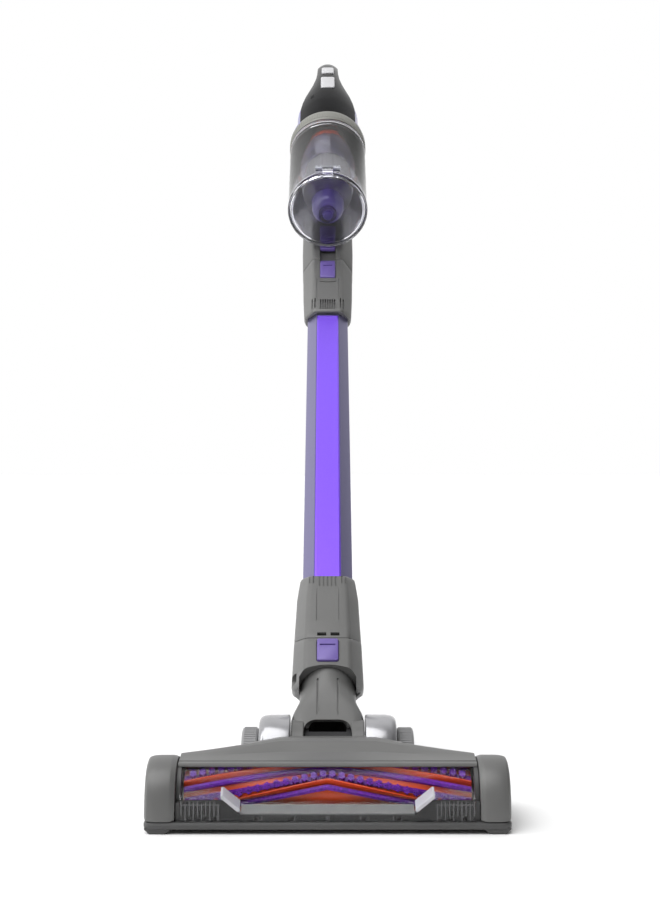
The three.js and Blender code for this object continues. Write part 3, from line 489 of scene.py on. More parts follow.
for number, starts in ((1, (127, 67)), (2, (307, 247))):
    bm = bmesh.new()
    for start in starts:
        skinned(bm, [[on_brush(x, r, start + abs(x) * STRIP_SLOPE + spread) for r, spread in (
            (15, -8), (16.4, -6.5), (16.4, 6.5), (15, 8))] for x in fin_x])
        for i in range(TUFTS):
            x = mix(-103.5, 103.5, (i + 0.5) / TUFTS)
            for side_step, spread in (
                    (-1.3, -3), (1.3, -3), (0, 0), (-1.3, 3), (1.3, 3), (0, 5.4), (0, -5.4)):
                turn = start + abs(x) * STRIP_SLOPE + spread
                root = Vector(on_brush(x + side_step, 15.6, turn))
                tip = Vector(on_brush(x + side_step * 1.15, 21.8, turn + 2))
                aim = (tip - root).to_track_quat("Z", "Y").to_matrix().to_4x4()
                bmesh.ops.create_cone(
                    bm, cap_ends=True, segments=6, radius1=0.8, radius2=1.0, depth=(tip - root).length,
                    matrix=Matrix.Translation((root + tip) / 2) @ aim)
        skinned(bm, [[on_brush(x, r, start + 31 + abs(x) * STRIP_SLOPE + spread) for r, spread in (
            (15, -7), (18.4, -6), (19, 0), (18.4, 6), (15, 7))] for x in fin_x])
    name = f"bristle_strip_{number}"
    fitted(name, bm, HEAD, pile, "brush", edge=0, sharp=40)

shaft = lathed(
    [(-122, 0), (-122, 3.6), (-121.4, 4), (118.4, 4), (119, 3.6), (119, 0)], (BRUSH_Y, BRUSH_Z), steps=32)
fitted("brush_core", shaft, HEAD, steel, "brush", edge=0, name="brush_shaft")
pulley = lathed(
    [
        (PULLEY_OUT, 4), (PULLEY_OUT, 12.4), (-120.6, 12.4), (-120.4, 11), (-115.6, 11), (-115.4, 12.4),
        (PULLEY_IN, 12.4), (PULLEY_IN, 4)],
    (BRUSH_Y, BRUSH_Z), steps=48)
fitted("brush_core", pulley, HEAD, gate_abs, "brush", edge=0.15, name="brush_pulley")


# ---------- brush drive ----------
# A small motor behind the chamber turns the brush through a toothed rubber belt inside the left cap. The
# brush runs in two sintered bushes.
MOTOR_Y, MOTOR_Z = 70, 30.6
motor = lathed([(-68, 0), (-68, 7), (-67, 8), (-25, 8), (-24, 7), (-24, 0)], (MOTOR_Y, MOTOR_Z), steps=40)
turned(motor, [(-122, 0), (-122, 1.3), (-121.7, 1.6), (-67, 1.6), (-67, 0)], (MOTOR_Y, MOTOR_Z), steps=20)
fitted("brush_motor", motor, HEAD, steel, "floor_head", edge=0.2)
teeth = [(PULLEY_OUT, 1.95), (PULLEY_OUT, 5.5), (PULLEY_IN, 5.5), (PULLEY_IN, 1.95)]
bm = lathed(teeth, (MOTOR_Y, MOTOR_Z), steps=32)
fitted("motor_pulley", bm, HEAD, steel, "motor_pulley", edge=0.15)
carried(rubber, "drive_belt")
for node, span, r in (
        ("brush_bearing_right", (112.2, 119), 8), ("brush_bearing_left", (-111.5, -108.7), 9)):
    bm = lathed([(span[0], 4.3), (span[0], r), (span[1], r), (span[1], 4.3)], (BRUSH_Y, BRUSH_Z), steps=40)
    fitted(node, bm, HEAD, steel, "floor_head", edge=0.3)


# ---------- pivot pods, wheels and rollers ----------
# Two glossy silver drums hold the tilt axis. Behind them run two grey wheels with a fine cross tread on
# steel axles, and two small rubber rollers carry the sole.
silver = patterned(
    "silver_lacquered_abs", 20, 2, ("#98989b", "#a2a2a5"), (0.2, 0.28), Metallic=0.55, IOR=1.5,
    Coat_Weight=0.6, Coat_Roughness=0.05)
wheel_grey = moulded_plastic("moulded_light_grey_tpu", "#8b8b8c", 0.5)

POD = [
    (29.9, 8.4), (29.9, 28), (30.5, 28.8), (31.4, 29), (46, 28.8), (50.2, 28.3), (52.8, 27.3), (54.4, 25.5),
    (55, 23), (55, 12), (53.4, 11.6), (53.2, 8.4)]
PIN = [(19.6, 5), (19.6, 7.4), (20.2, 8), (50, 8), (50.7, 7.4), (50.7, 5)]
TREAD = [
    (55.8, 3.3), (55.8, 24.6), (56.4, 26.2), (57.6, 27.1), (67.4, 27.1), (68.7, 26.2), (69.3, 24.4),
    (69.3, 18), (67.9, 17), (67.9, 8), (69.3, 7), (69.3, 3.3)]
AXLE = [(52.7, 0), (52.7, 3), (69.6, 3), (69.7, 5.2), (70.3, 5.5), (71, 4.6), (71.1, 0)]
ROLLER = [(87, 0), (87, 5.2), (87.9, 6.3), (89, 6.5), (95, 6.5), (96.1, 6.3), (97, 5.2), (97, 0)]
PIVOT, WHEEL, ROLLER_AT = (PIVOT_Y, PIVOT_Z), (118, 27.5), (70, 6.5)


def every_other(bm, chosen, angle, thickness, depth):
    """Insets every second of the chosen faces round an axis, as a tread or a grip."""
    bm.normal_update()
    band = sorted([f for f in bm.faces if chosen(f.normal, f.calc_center_median())],
                  key=lambda f: angle(f.calc_center_median()))
    bmesh.ops.inset_individual(bm, faces=band[::2], thickness=thickness, depth=depth)


for side, word in ((1, "right"), (-1, "left")):
    for node, profile, centre, steps, material, slot, sharp in (
            ("pivot_pod", POD, PIVOT, 96, silver, "silver_plastic", 40),
            ("hinge_pin", PIN, PIVOT, 40, steel, "steel", 32),
            ("rear_wheel", TREAD, WHEEL, 144, wheel_grey, "grey_housing", 30),
            ("wheel_axle", AXLE, WHEEL, 36, steel, "steel", 32),
            ("front_roller", ROLLER, ROLLER_AT, 40, rubber, "rubber", 32)):
        bm = lathed([(side * x, r) for x, r in profile], centre, steps=steps)
        if node == "rear_wheel":
            every_other(
                bm, lambda n, c: abs(n.x) < 0.05 and 58 < abs(c.x) < 67 and math.dist(c.yz, WHEEL) > 26,
                lambda c: math.atan2(c.z - WHEEL[1], c.y - WHEEL[0]), 0.12, 0.38)
        body = f"{node}_{word}" if node in ("rear_wheel", "front_roller") else "floor_head"
        fitted(f"{node}_{word}", bm, HEAD, material, body, edge=0, sharp=sharp)


# ---------- yoke ----------
# A grey moulded fork on the tilt axis. Its flat front has two long grooves over a rounded opening for the
# air elbow, and its round neck is the inner half of the swivel.
def boxy_ring(w, half_x, half_y, squareness, steps=72):
    """A level ring between a round and a boxy outline; squareness 2 is an ellipse."""
    points = []
    for i in range(steps):
        c, s = math.cos(2 * math.pi * i / steps), math.sin(2 * math.pi * i / steps)
        r = (abs(c) ** squareness + abs(s) ** squareness) ** (-1 / squareness)
        points.append((half_x * r * c, half_y * r * s, w))
    return points


def plate_tool(outline, y0, y1):
    """A cutter with an outline in (x, w), running through from y0 to y1."""
    return solid([[(x, y, w) for x, w in outline] for y in (y0, y1)])


yoke_rows = [
    (2, 28.6, 20.4, 9), (3, 29.2, 21.2, 9), (4.5, 29.3, 21.5, 9), (19, 29.3, 21.5, 9), (21, 28.9, 21.5, 9),
    (24, 28, 21.5, 9), (27, 26.9, 21.5, 8.5), (30, 25.8, 21.5, 8), (33, 24.7, 21.6, 7), (36, 23.9, 21.9, 6),
    (40, 23.5, 22.2, 4.6), (45, 23.4, 22.6, 3.4), (51, 23.5, 23.2, 2.4), (55, 23.6, 23.6, 2),
    (68.4, 23.6, 23.6, 2), (69, 23.1, 23.1, 2), (69.1, 20, 20, 2), (91.2, 20, 20, 2), (92, 19.3, 19.3, 2)]
bm = solid([boxy_ring(*row) for row in yoke_rows])


def mouth(half, top):
    """A doorway with round upper corners."""
    radius = 10
    side = arc(half - radius, top - radius, radius, 0, 90, 9)
    return [(half, -40), *side, *[(-x, w) for x, w in reversed(side)], (-half, -40)]


grooves = [tool_block(x - 0.7, x + 0.7, -30, -20.6, 20, 57) for x in (-8.3, 8.3)]
bore = lathed([(10, 0), (10, 16.5), (93, 16.5), (93, 0)], (0, 0), "Z", 48)
cut(bm, plate_tool(mouth(19, 14.6), -40, -17), plate_tool(mouth(19.4, 21), -18.6, 40), bore, *grooves)
for side in (1, -1):
    ear = [
        (side * x, r)
        for x, r in [(19.2, 8.3), (19.2, 24.4), (19.8, 25), (28.4, 25), (29.2, 24.2), (29.2, 8.3)]]
    turned(bm, ear, (0, 0), "X", 72)
fitted("yoke", bm, WAND, grey_abs, "yoke", edge=0.8, segments=3, sharp=34)


# ---------- neck housing ----------
# A grey shell that swivels on the yoke. Two cheeks reach down beside the yoke's neck, its front opens in an
# arch, and its upper parting line rises from the front to the sides.
def eight_sided(front, wide, back, f, m, n, b):
    """Front flat, widest part and back flat, with the depths where they start."""
    return [(-front / 2, -f), (front / 2, -f), (wide / 2, -m), (wide / 2, n),
            (back / 2, b), (-back / 2, b), (-wide / 2, n), (-wide / 2, -m)]


def softened(corners, radius, steps=4):
    """Rounds the corners of a closed outline."""
    points = []
    for before, corner, after in zip(corners[-1:] + corners[:-1], corners, corners[1:] + corners[:1]):
        at = Vector((*corner, 0))
        to_before, to_after = Vector((*before, 0)) - at, Vector((*after, 0)) - at
        start = at + to_before.normalized() * min(radius, to_before.length * 0.45)
        end = at + to_after.normalized() * min(radius, to_after.length * 0.45)
        curve = interpolate_bezier(start, mix(start, at, 0.6), mix(end, at, 0.6), end, steps + 1)
        points += [(p.x, p.y) for p in curve]
    return points


def oblong(half, low, high, radius, steps=4):
    """A rounded rectangle about the middle line."""
    return softened([(-half, low), (half, low), (half, high), (-half, high)], radius, steps)


def parting(front, side, y):
    """A parting line that is low at the front and rises to the sides."""
    return mix(front, side, share(y, -26, -8))


def even_steps(start, count, end):
    """Shares of a height with how far the shell pulls in there: some at each end and even ones between."""
    return [*start, *[(t / count, 0) for t in range(1, count)], *end]


def shell_rings(rows, steps, low_line, high_line, radius):
    """Level rings from one parting line to another; each line gives a height for a depth."""
    rings = []
    for t, shrink in steps:
        w_mid = mix(low_line(0), high_line(0), t)
        sizes = [s - shrink * k for s, k in zip(between(rows, w_mid), (0.8, 2, 0.8, 1, 0, 0, 1))]
        rings.append([
            (x, y, mix(low_line(y), high_line(y), t)) for x, y in softened(eight_sided(*sizes), radius)])
    return rings


NECK_FRONT, NECK_SIDE = 97, 109
NECK_ROWS = [
    (49, 38, 57, 36, 26.5, 8, 11, 27), (64, 39, 60.6, 38, 27.5, 8, 11, 28),
    (112, 38, 58, 36, 27, 8, 10, 27)]
neck_steps = even_steps(
    ((0, 2.2), (0.015, 1), (0.04, 0.3), (0.08, 0)), 10, ((0.985, 0), (0.995, 0.2), (1, 0.6)))
bm = solid(shell_rings(
    NECK_ROWS, neck_steps, lambda y: min(66, max(50, 58.2 + 0.53 * y)),
    lambda y: parting(NECK_FRONT, NECK_SIDE, y) - 0.2, 3))
arch = [(-23.7, 40), (23.7, 40)] + [
    (mix(23.7, -23.7, i / 20), 67.2 - 6.5 * mix(1, -1, i / 20) ** 2) for i in range(21)]
swivel_bore = lathed(
    [(45, 0), (45, 24.2), (69.6, 24.2), (69.6, 20.7), (92.6, 20.7), (92.6, 18.2), (120, 18.2), (120, 0)],
    (0, 0), "Z", 64)
button_bay = plate_tool(oblong(9.6, 70.2, 95.4, 2.4), -40, -23.3)
cheek_hollow = solid([
    [(x, y, w) for y, w in softened([(-16, 58.5), (-4, 58.5), (-4, 69), (-10, 70.5), (-16, 68)], 2.5)]
    for x in (-40, -26)])
cut(bm, plate_tool(arch, -40, 40), swivel_bore, button_bay, cheek_hollow)
fitted("neck_housing", bm, WAND, grey_abs, "neck", edge=0.45, sharp=34)

# The key that frees the head from the wand is violet ABS with a rounded lower edge and a finger line near
# its top. A wire spring behind it pushes it back out.
violet_abs = moulded_plastic("satin_violet_abs", "#6957a0", 0.36, drift=0.04)

HEAD_SPRING_W, WAND_SPRING_W, LATCH_SPRING_W = 83, 664, 740


def key(half, front, back, w0, w1, line_w, line_half, spring_w, socket_end):
    """A press key with a finger line across its front and a socket behind it for its spring."""
    outline = oblong(half, w0, w1, 1.9)
    rings = []
    middle = (w0 + w1) / 2
    for y, k in ((back, 1), (front + 0.9, 1), (front + 0.25, 0.975), (front, 0.92)):
        rings.append([(x * k, y, middle + (w - middle) * mix(1, k, 0.7)) for x, w in outline])
    socket = lathed(
        [(socket_end, 0), (socket_end, 3.7), (back + 1, 3.7), (back + 1, 0)], (0, spring_w), "Y", 32)
    finger_line = tool_block(-line_half, line_half, front - 1, front + 1.3, line_w, line_w + 1.5)
    return cut(solid(rings), socket, finger_line)


def coil(y0, y1, w):
    """A wire spring, its round section carried along a screw line by a spin with a rise."""
    r, wire, turns = 2.9, 0.45, 4
    steps = 20 * turns
    bm = bmesh.new()
    ring = bmesh.ops.create_circle(bm, cap_ends=True, radius=wire, segments=8)["verts"]
    bmesh.ops.transform(bm, verts=ring, matrix=Matrix.Translation((r, y0 + wire, w)))
    bmesh.ops.spin(
        bm, geom=bm.faces[:] + bm.edges[:] + bm.verts[:], cent=(0, y0, w), axis=(0, 1, 0),
        angle=2 * math.pi * turns, steps=steps, dvec=(0, (y1 - y0 - 2 * wire) / steps, 0))
    return bm


fitted(
    "head_release_button", key(9.0, -29.2, -26.2, 70.8, 94.8, 87, 6.6, HEAD_SPRING_W, -28.4), WAND,
    violet_abs, "head_release_button", edge=0.2)
fitted("head_release_spring", coil(-25.9, -23.6, HEAD_SPRING_W), WAND, steel, "neck", edge=0)


# ---------- lower collar ----------
# A grey shell locked to the wand's foot. Two slots sit over the release key, two panel lines run up its
# front, and fine upright slots under its lip give a grip. Its spigot plugs into the neck.
LOWER_ROWS = [
    (92, 38, 59, 36, 27, 8, 10, 27), (160, 35, 54.5, 34, 25.5, 8, 10, 24.5),
    (172, 33.4, 52, 33, 24.4, 7.5, 9.5, 23.6), (187, 32, 48.5, 32, 22.6, 7, 9, 22.4)]
collar_steps = even_steps(((0, 0.6), (0.006, 0.2), (0.015, 0)), 12, ((0.97, 0), (0.985, 0.3), (1, 1.1)))
bm = solid(shell_rings(
    LOWER_ROWS, collar_steps, lambda y: parting(NECK_FRONT, NECK_SIDE, y) + 0.3,
    lambda y: parting(172, 184, y), 3))


def wand_outline(grown, radius):
    """The wand's eight-sided section, made wider by a clearance."""
    return softened(
        eight_sided(25 + grown, 44.8 + 2 * grown, 28 + grown, 20 + grown, 5, 8, 20 + grown), radius)


def wand_tool(w0, w1, grown=0.3):
    return solid([[(x, y, w) for x, y in wand_outline(grown, 1.6)] for w in (w0, w1)])


def round_tool(w0, w1, r):
    return lathed([(w0, 0), (w0, r), (w1, r), (w1, 0)], (0, 0), "Z", 48)


vents = [tool_block(x0, x1, -40, -22.5, 99.9, 103.6) for x0, x1 in ((-8.9, -1.2), (2.4, 10))]
lines = slots((-9.6, 9.6), 0.25, -24.6, 118, 157)
grips = slots((-7.1, -3.55, 0, 3.55, 7.1), 0.75, -22.3, 160, 173)
grips += slots((12.6, 15.8, -12.6, -15.8), 0.6, -21.6, 164, 174)
cut(bm, wand_tool(149.7, 190), round_tool(95, 151, 15), *vents, *lines, *grips)
turned(bm, [(94, 15.2), (94, 17.4), (94.4, 17.8), (122, 17.8), (122, 15.2)], (0, 0), "Z", 48)
fitted("wand_lower_collar", bm, WAND, grey_abs, "wand", edge=0.4, sharp=34)


# ---------- wand tube and front strip ----------
# An eight-sided extruded aluminium tube, anodised grey-violet, with fine draw lines along it. A brighter
# violet anodised strip with bevelled edges is let into its front.
def anodised(name, dark, light, roughness, coat=0.0):
    """Dyed aluminium oxide over drawn metal. The draw lines run 60 mm along the wand and are 0.4 mm apart,
    wider than real ones so that they show."""
    material, shader, place = new_material(name, Metallic=0.85, Coat_Weight=coat, Coat_Roughness=0.08)
    along = add_node(material, "ShaderNodeMapping", {
        "Vector": place, "Rotation": (lean, 0, 0), "Scale": (1 / 0.0004, 1 / 0.0004, 1 / 0.060)})
    draw = add_node(
        material, "ShaderNodeTexNoise", {"Vector": along.outputs["Vector"], "Scale": 1, "Detail": 2})
    tone = two_tones(material, draw.outputs["Fac"], linear(dark), linear(light))
    sheen = add_node(material, "ShaderNodeMapRange", {
        "Value": draw.outputs["Fac"], "To Min": roughness - 0.06, "To Max": roughness + 0.06})
    join(material, tone, shader, "Base Color")
    join(material, sheen.outputs["Result"], shader, "Roughness")
    return material


tube_finish = anodised("grey_violet_anodised_aluminium", "#78749a", "#8681aa", 0.34)
strip_finish = anodised("violet_anodised_aluminium", "#8052f2", "#8b5ef8", 0.32, coat=0.4)

STRIP_LOW, STRIP_HIGH = 175.8, 579
bm = solid([[(x, y, w) for x, y in wand_outline(0, 1.2)] for w in (150, 150.5, 260, 375, 490, 599.5, 600)])
bed = tool_block(-12, 12, -21, -19, STRIP_LOW - 0.3, STRIP_HIGH + 0.3)
cut(bm, wand_tool(149, 601, -1.9), bed)
fitted("wand_tube", bm, WAND, tube_finish, "wand", edge=0.25, sharp=34)
strip_rings = [
    [
        (x * k, y, w)
        for x, y in [
            (-11.8, -19.3), (-11.8, -19.8), (-10.4, -20.4), (10.4, -20.4), (11.8, -19.8), (11.8, -19.3)]]
    for w, k in ((STRIP_LOW, 0.985), (STRIP_LOW + 0.5, 1), (STRIP_HIGH - 0.5, 1), (STRIP_HIGH, 0.985))]
fitted(
    "wand_front_strip", solid(strip_rings), WAND, strip_finish, "wand", edge=0.15,
    sharp=20)


# ---------- upper collar ----------
# The mirror of the lower one: a grey shell at the wand's top, with grip slots, a shallow thumb line and the
# violet key that frees the handheld unit. The dark bay above the key shows the catch.
UPPER_ROWS = [
    (577, 32, 50, 32, 23.6, 7, 9, 23), (600, 33, 53, 33, 24.8, 8, 10, 24),
    (630, 33.4, 55.4, 33.6, 25.8, 8.6, 10, 24.6), (684, 34, 57.5, 34, 27, 9, 10, 25)]
upper_steps = even_steps(((0, 1.2), (0.012, 0.3), (0.03, 0)), 12, ((0.985, 0), (0.995, 0.2), (1, 0.6)))
bm = solid(shell_rings(
    UPPER_ROWS, upper_steps, lambda y: between(((-22, 582), (-6, 590), (9, 604)), y)[0], lambda y: 683.7,
    3))
bay = plate_tool(oblong(9.1, 645, 690, 1.2), -40, -21.4)
grips = slots((-7.8, -5.2, -2.6, 0, 2.6, 5.2, 7.8), 0.75, -22, 585.5, 604)
grips += slots((14.2, 17.4, -14.2, -17.4), 0.6, -20.6, 588, 606)
lines = slots((-12.4, 12.4), 0.25, -24.9, 606, 644)
thumb = [(mix(-9.4, 9.4, i / 12), 636.6 + 1.6 * mix(-1, 1, i / 12) ** 2) for i in range(13)]
thumb_line = plate_tool(thumb + [(x, w + 1.2) for x, w in reversed(thumb)], -40, -25)
well = lathed([(-23, 0), (-23, 4.4), (-17.6, 4.4), (-17.6, 0)], (0, WAND_SPRING_W), "Y", 32)
cut(bm, wand_tool(570, 600.3), round_tool(595, 690, 17.8), bay, thumb_line, well, *grips, *lines)
fitted("wand_upper_collar", bm, WAND, grey_abs, "wand", edge=0.4, sharp=34)
bm = key(8.7, -27.8, -24.8, 645.4, 677, 668.4, 5, WAND_SPRING_W, -26.95)
block(bm, -8.4, 8.4, -25.6, -24.8, 676, 682)
fitted("wand_release_button", bm, WAND, violet_abs, "wand_release_button", edge=0.2)
fitted("wand_release_spring", coil(-24.4, -18.2, WAND_SPRING_W), WAND, steel, "wand", edge=0)


# ---------- nose housing ----------
# The grey snout of the handheld unit takes the wand's collar and carries the air duct up behind the dust
# bin. A soft seal lies round the bin's inlet.
NOSE_ROWS = [
    (684, 34, 58, 34, 27, 9, 10, 25), (720, 36, 59.5, 36, 27, 10, 10, 25),
    (868, 36, 59.5, 36, 27, 10, 10, 25)]
nose_steps = even_steps(((0, 0.6), (0.003, 0.2), (0.008, 0)), 10, ((0.997, 0), (1, 0.4)))
bm = solid(shell_rings(NOSE_ROWS, nose_steps, lambda y: 684.2, lambda y: 868, 3))
latch_bay = plate_tool(oblong(9.3, 680, 757, 1.2), -40, -21.5)
INLET_W, INLET_R = 830, 12.5
inlet = lathed([(-45, 0), (-45, INLET_R), (0, INLET_R), (0, 0)], (0, INLET_W), "Y", 40)
well = lathed([(-23, 0), (-23, 4.4), (-17.4, 4.4), (-17.4, 0)], (0, LATCH_SPRING_W), "Y", 32)
cut(bm, round_tool(680, 848, 15), inlet, latch_bay, well)
turned(bm, [(656, 15), (656, 16.8), (656.6, 17.4), (700, 17.4), (700, 15)], (0, 0), "Z", 48)
fitted("nose_housing", bm, WAND, grey_abs, "handheld", edge=0.4, sharp=34)
carried(rubber, "inlet_seal")


# ---------- dust bin ----------
# A clear polycarbonate tube, cut at a slant and closed by a clear hinged lid with a thick rim. A ribbed
# violet latch holds the lid shut.
BIN_Y, BIN_R, BIN_TOP = -76, 45.5, 846.7
MOUTH_BACK, MOUTH_FRONT = 710, 719
MOUTH_SLOPE = (MOUTH_BACK - MOUTH_FRONT) / (2 * BIN_R)


def mouth_at(y):
    return (MOUTH_BACK + MOUTH_FRONT) / 2 + MOUTH_SLOPE * (y - BIN_Y)


bin_profile = [
    (690, BIN_R - 2.2), (690, BIN_R), (842, BIN_R), (843, BIN_R + 0.3), (844, BIN_R + 0.3),
    (844, BIN_R - 1.2), (BIN_TOP, BIN_R - 1.2), (BIN_TOP, BIN_R - 2.2)]
bm = lathed(bin_profile, (0, BIN_Y), "Z", 96)
end = bmesh.ops.bisect_plane(
    bm, geom=bm.verts[:] + bm.edges[:] + bm.faces[:], plane_co=(0, BIN_Y, mouth_at(BIN_Y)),
    plane_no=(0, MOUTH_SLOPE, -1), clear_outer=True)["geom_cut"]
bmesh.ops.bridge_loops(bm, edges=[g for g in end if isinstance(g, bmesh.types.BMEdge)])
HINGE_Y, HINGE_W = BIN_Y - BIN_R - 4, 720
inlet = lathed([(-40, 0), (-40, INLET_R), (-20, INLET_R), (-20, 0)], (0, INLET_W), "Y", 40)
cut(bm, inlet)
for side in (1, -1):
    lug = [
        (HINGE_Y - 3, 717.6), (HINGE_Y - 3, 722), (HINGE_Y - 1, 724), (HINGE_Y + 5.4, 729),
        (HINGE_Y + 5.4, 719.4), (HINGE_Y + 2, 718)]
    skinned(bm, [[(side * x, y, w) for y, w in softened(lug, 1.4)] for x in (6.4, 14)])
thick_plastic = patterned(
    "thick_clear_polycarbonate", 15, 1, relief=(0.2, 0.5), Base_Color=linear("#f0f0f6"), Roughness=0.04,
    IOR=1.585, Transmission_Weight=1.0)
fitted("bin_body", bm, WAND, thick_plastic, "bin", edge=0.25, sharp=34)
seal_profile = [(844.2, BIN_R - 1), (844.2, BIN_R + 0.4), (BIN_TOP, BIN_R + 0.4), (BIN_TOP, BIN_R - 1)]
seal = lathed(seal_profile, (0, BIN_Y), "Z", 96)
fitted("bin_body", seal, WAND, rubber, "bin", edge=0.15, name="bin_rim_seal")

lid_profile = [
    (-6.3, 0), (-6.3, 41.5), (-5.7, 44.6), (-4.4, 46), (-1.2, 46.1), (-0.3, 45.6), (-0.3, 42.8),
    (-1.2, 42.2), (-3, 41.6), (-4, 40), (-4, 0)]
bm = lathed(lid_profile, (0, BIN_Y), "Z", 96)
for v in bm.verts:
    v.co.z += mouth_at(v.co.y)
knuckle = [
    (HINGE_Y - 3, 712), (HINGE_Y - 3.4, 719), (HINGE_Y - 1.5, 723), (HINGE_Y + 2, 722.6),
    (HINGE_Y + 3.6, 718.6), (HINGE_Y + 6, 717.4), (HINGE_Y + 6, 712)]
skinned(bm, [[(x, y, w) for y, w in softened(knuckle, 1.4)] for x in (-6, 6)])
fitted("bin_door", bm, WAND, thick_plastic, "bin_door", edge=0, sharp=28)
bm = lathed(
    [(-15, 0), (-15, 1.1), (-14.7, 1.4), (14.7, 1.4), (15, 1.1), (15, 0)], (HINGE_Y, HINGE_W), "X", 24)
fitted("bin_door_pin", bm, WAND, steel, "bin", edge=0)

bm = key(8.9, -28.9, -24.4, 704, 756, 708, 5, LATCH_SPRING_W, -26.6)
for i in range(5):
    w = 713 + i * 4.6
    rib = [(-28.6, w), (-30.1, w + 0.7), (-30.1, w + 1.5), (-28.6, w + 2.4)]
    skinned(bm, [[(x * k, y, z) for y, z in rib] for x, k in ((-6.6, 1), (6.6, 1))])
fitted("bin_latch", bm, WAND, violet_abs, "bin_latch", edge=0.25)
fitted("bin_latch_spring", coil(-24, -18, LATCH_SPRING_W), WAND, steel, "handheld", edge=0)


# ---------- filter ----------
# A knurled grey ring turns by hand to clean the filter. Below it hang an orange collar, a violet cone that
# throws dirt outwards, a fine steel screen over the pleats, and a violet tip with a black bumper ring.
ring_grey = moulded_plastic("moulded_warm_grey_abs", "#84847e", 0.42)
ring_profile = [
    (847, 38.4), (847, 45.2), (848, 45.8), (851, 46), (862, 46), (865, 45.7), (867.7, 45), (867.7, 38.4)]
bm = lathed(ring_profile, (0, BIN_Y), "Z", 180)
every_other(
    bm, lambda n, c: 851 < c.z < 862 and math.hypot(c.x, c.y - BIN_Y) > 45,
    lambda c: math.atan2(c.x, c.y - BIN_Y), 0.15, -0.5)
fitted("filter_ring", bm, WAND, ring_grey, "filter_ring", edge=0, sharp=28)

smoky = patterned(
    "smoky_violet_polycarbonate", 25, 2, ("#5b5488", "#6b6498"), IOR=1.585, Transmission_Weight=0.6,
    Roughness=0.12, Alpha=0.75)

# Holes 1.2 mm apart, wider than the real 0.4 mm so that the screen reads as one.
etched, etched_shader, etched_place = new_material("etched_stainless_screen", Metallic=1.0)
level = add_node(etched, "ShaderNodeMapping", {"Vector": etched_place, "Rotation": (lean, 0, 0)})
holes = add_node(etched, "ShaderNodeTexVoronoi", {
    "Vector": level.outputs["Vector"], "Scale": 1 / 0.0012, "Randomness": 0.0}).outputs["Distance"]
dimple = add_node(etched, "ShaderNodeBump", {"Height": holes, "Strength": 0.4, "Distance": 0.0002})
etched_sheen = add_node(etched, "ShaderNodeMapRange", {"Value": holes, "To Min": 0.5, "To Max": 0.3})
# The holes are painted dark as painted shade for the dim inside of the filter seen through them; the web
# between them keeps the steel's own tone.
painted_hole_shade = two_tones(etched, holes, linear("#33333a"), linear("#a2a2a6"), 0.2, 0.3)
join(etched, painted_hole_shade, etched_shader, "Base Color")
join(etched, dimple.outputs["Normal"], etched_shader, "Normal")
join(etched, etched_sheen.outputs["Result"], etched_shader, "Roughness")
paper = patterned("pleated_filter_paper", 0.9, 6, ("#d2d0c8", "#eceae2"), IOR=1.47, Roughness=0.9)
PLEAT_FOLDS, PLEAT_R = 96, (19.4, 25.2)
pleats = []
for i in range(PLEAT_FOLDS):
    turn = 2 * math.pi * i / PLEAT_FOLDS
    pleats.append((PLEAT_R[i % 2] * math.cos(turn), BIN_Y + PLEAT_R[i % 2] * math.sin(turn)))
bm = solid([[(x, y, w) for x, y in pleats] for w in (754, 849)])
fitted("pleated_filter", bm, WAND, paper, "handheld", edge=0, sharp=20)

TIP_Y = -66
deep_violet = moulded_plastic("deep_violet_abs", "#4a427c", 0.3, drift=0.04)
DOME = [
    (721.6, 0), (721.6, 5.9), (722.4, 6.4), (722.4, 11), (723, 13.4), (725.4, 15.8), (728.6, 17.1),
    (732, 17.6), (744, 17.6), (744, 0)]
NIPPLE = [(714.6, 0), (714.6, 4.6), (715.4, 5.5), (717, 5.9), (722.4, 5.9), (722.4, 0)]
for node, name, y, steps, material, slot, edge, profile in (
        ("filter_frame", None, BIN_Y, 96, orange_plastic, "orange_plastic", 0.2, [
            (826, 28.2), (826, 37), (827, 38), (830, 39), (843.4, 39), (844.4, 38.6), (846, 37), (866, 37),
            (866, 30), (850, 28.2)]),
        ("separator_skirt", None, BIN_Y, 96, smoky, "purple_plastic", 0.15, [
            (800, 28.2), (800, 29.4), (801, 30.2), (821.4, 40.4), (822.2, 40.5), (824.4, 40.5), (825, 40),
            (825, 38.8), (806, 28.2)]),
        ("filter_screen", None, BIN_Y, 96, etched, "filter_mesh", 0, [
            (753, 26), (753, 27.4), (753.4, 27.7), (850, 27.7), (850, 26)]),
        ("filter_tip", "filter_end_disc", BIN_Y, 80, dark_abs, "dark_housing", 0.15, [
            (744, 0), (744, 26.2), (744.8, 27), (752.6, 27), (752.6, 0)]),
        ("filter_tip", "filter_bumper_ring", TIP_Y, 48, rubber, "rubber", 0.2, [
            (717, 6.4), (717, 9.4), (717.8, 10.2), (722, 10.2), (722, 6.4)])):
    bm = lathed(profile, (0, y), "Z", steps)
    fitted(node, bm, WAND, material, "handheld", edge=edge, sharp=28, name=name)
bm = turned(lathed(DOME, (0, TIP_Y), "Z", 72), NIPPLE, (0, TIP_Y), "Z", 48)
fitted("filter_tip", bm, WAND, deep_violet, "handheld", edge=0.15, sharp=28)


# ---------- motor housing and handle ----------
# Two halves of translucent violet ABS screwed together: the motor barrel with its exhaust slots, the loop
# of the handle, and the foot that the battery slides under.
tinted = patterned(
    "tinted_violet_abs", 30, 3, ("#55509a", "#6a64ae"), (0.24, 0.36), IOR=1.53, Subsurface_Weight=0.15,
    Coat_Weight=0.4, Coat_Roughness=0.08)

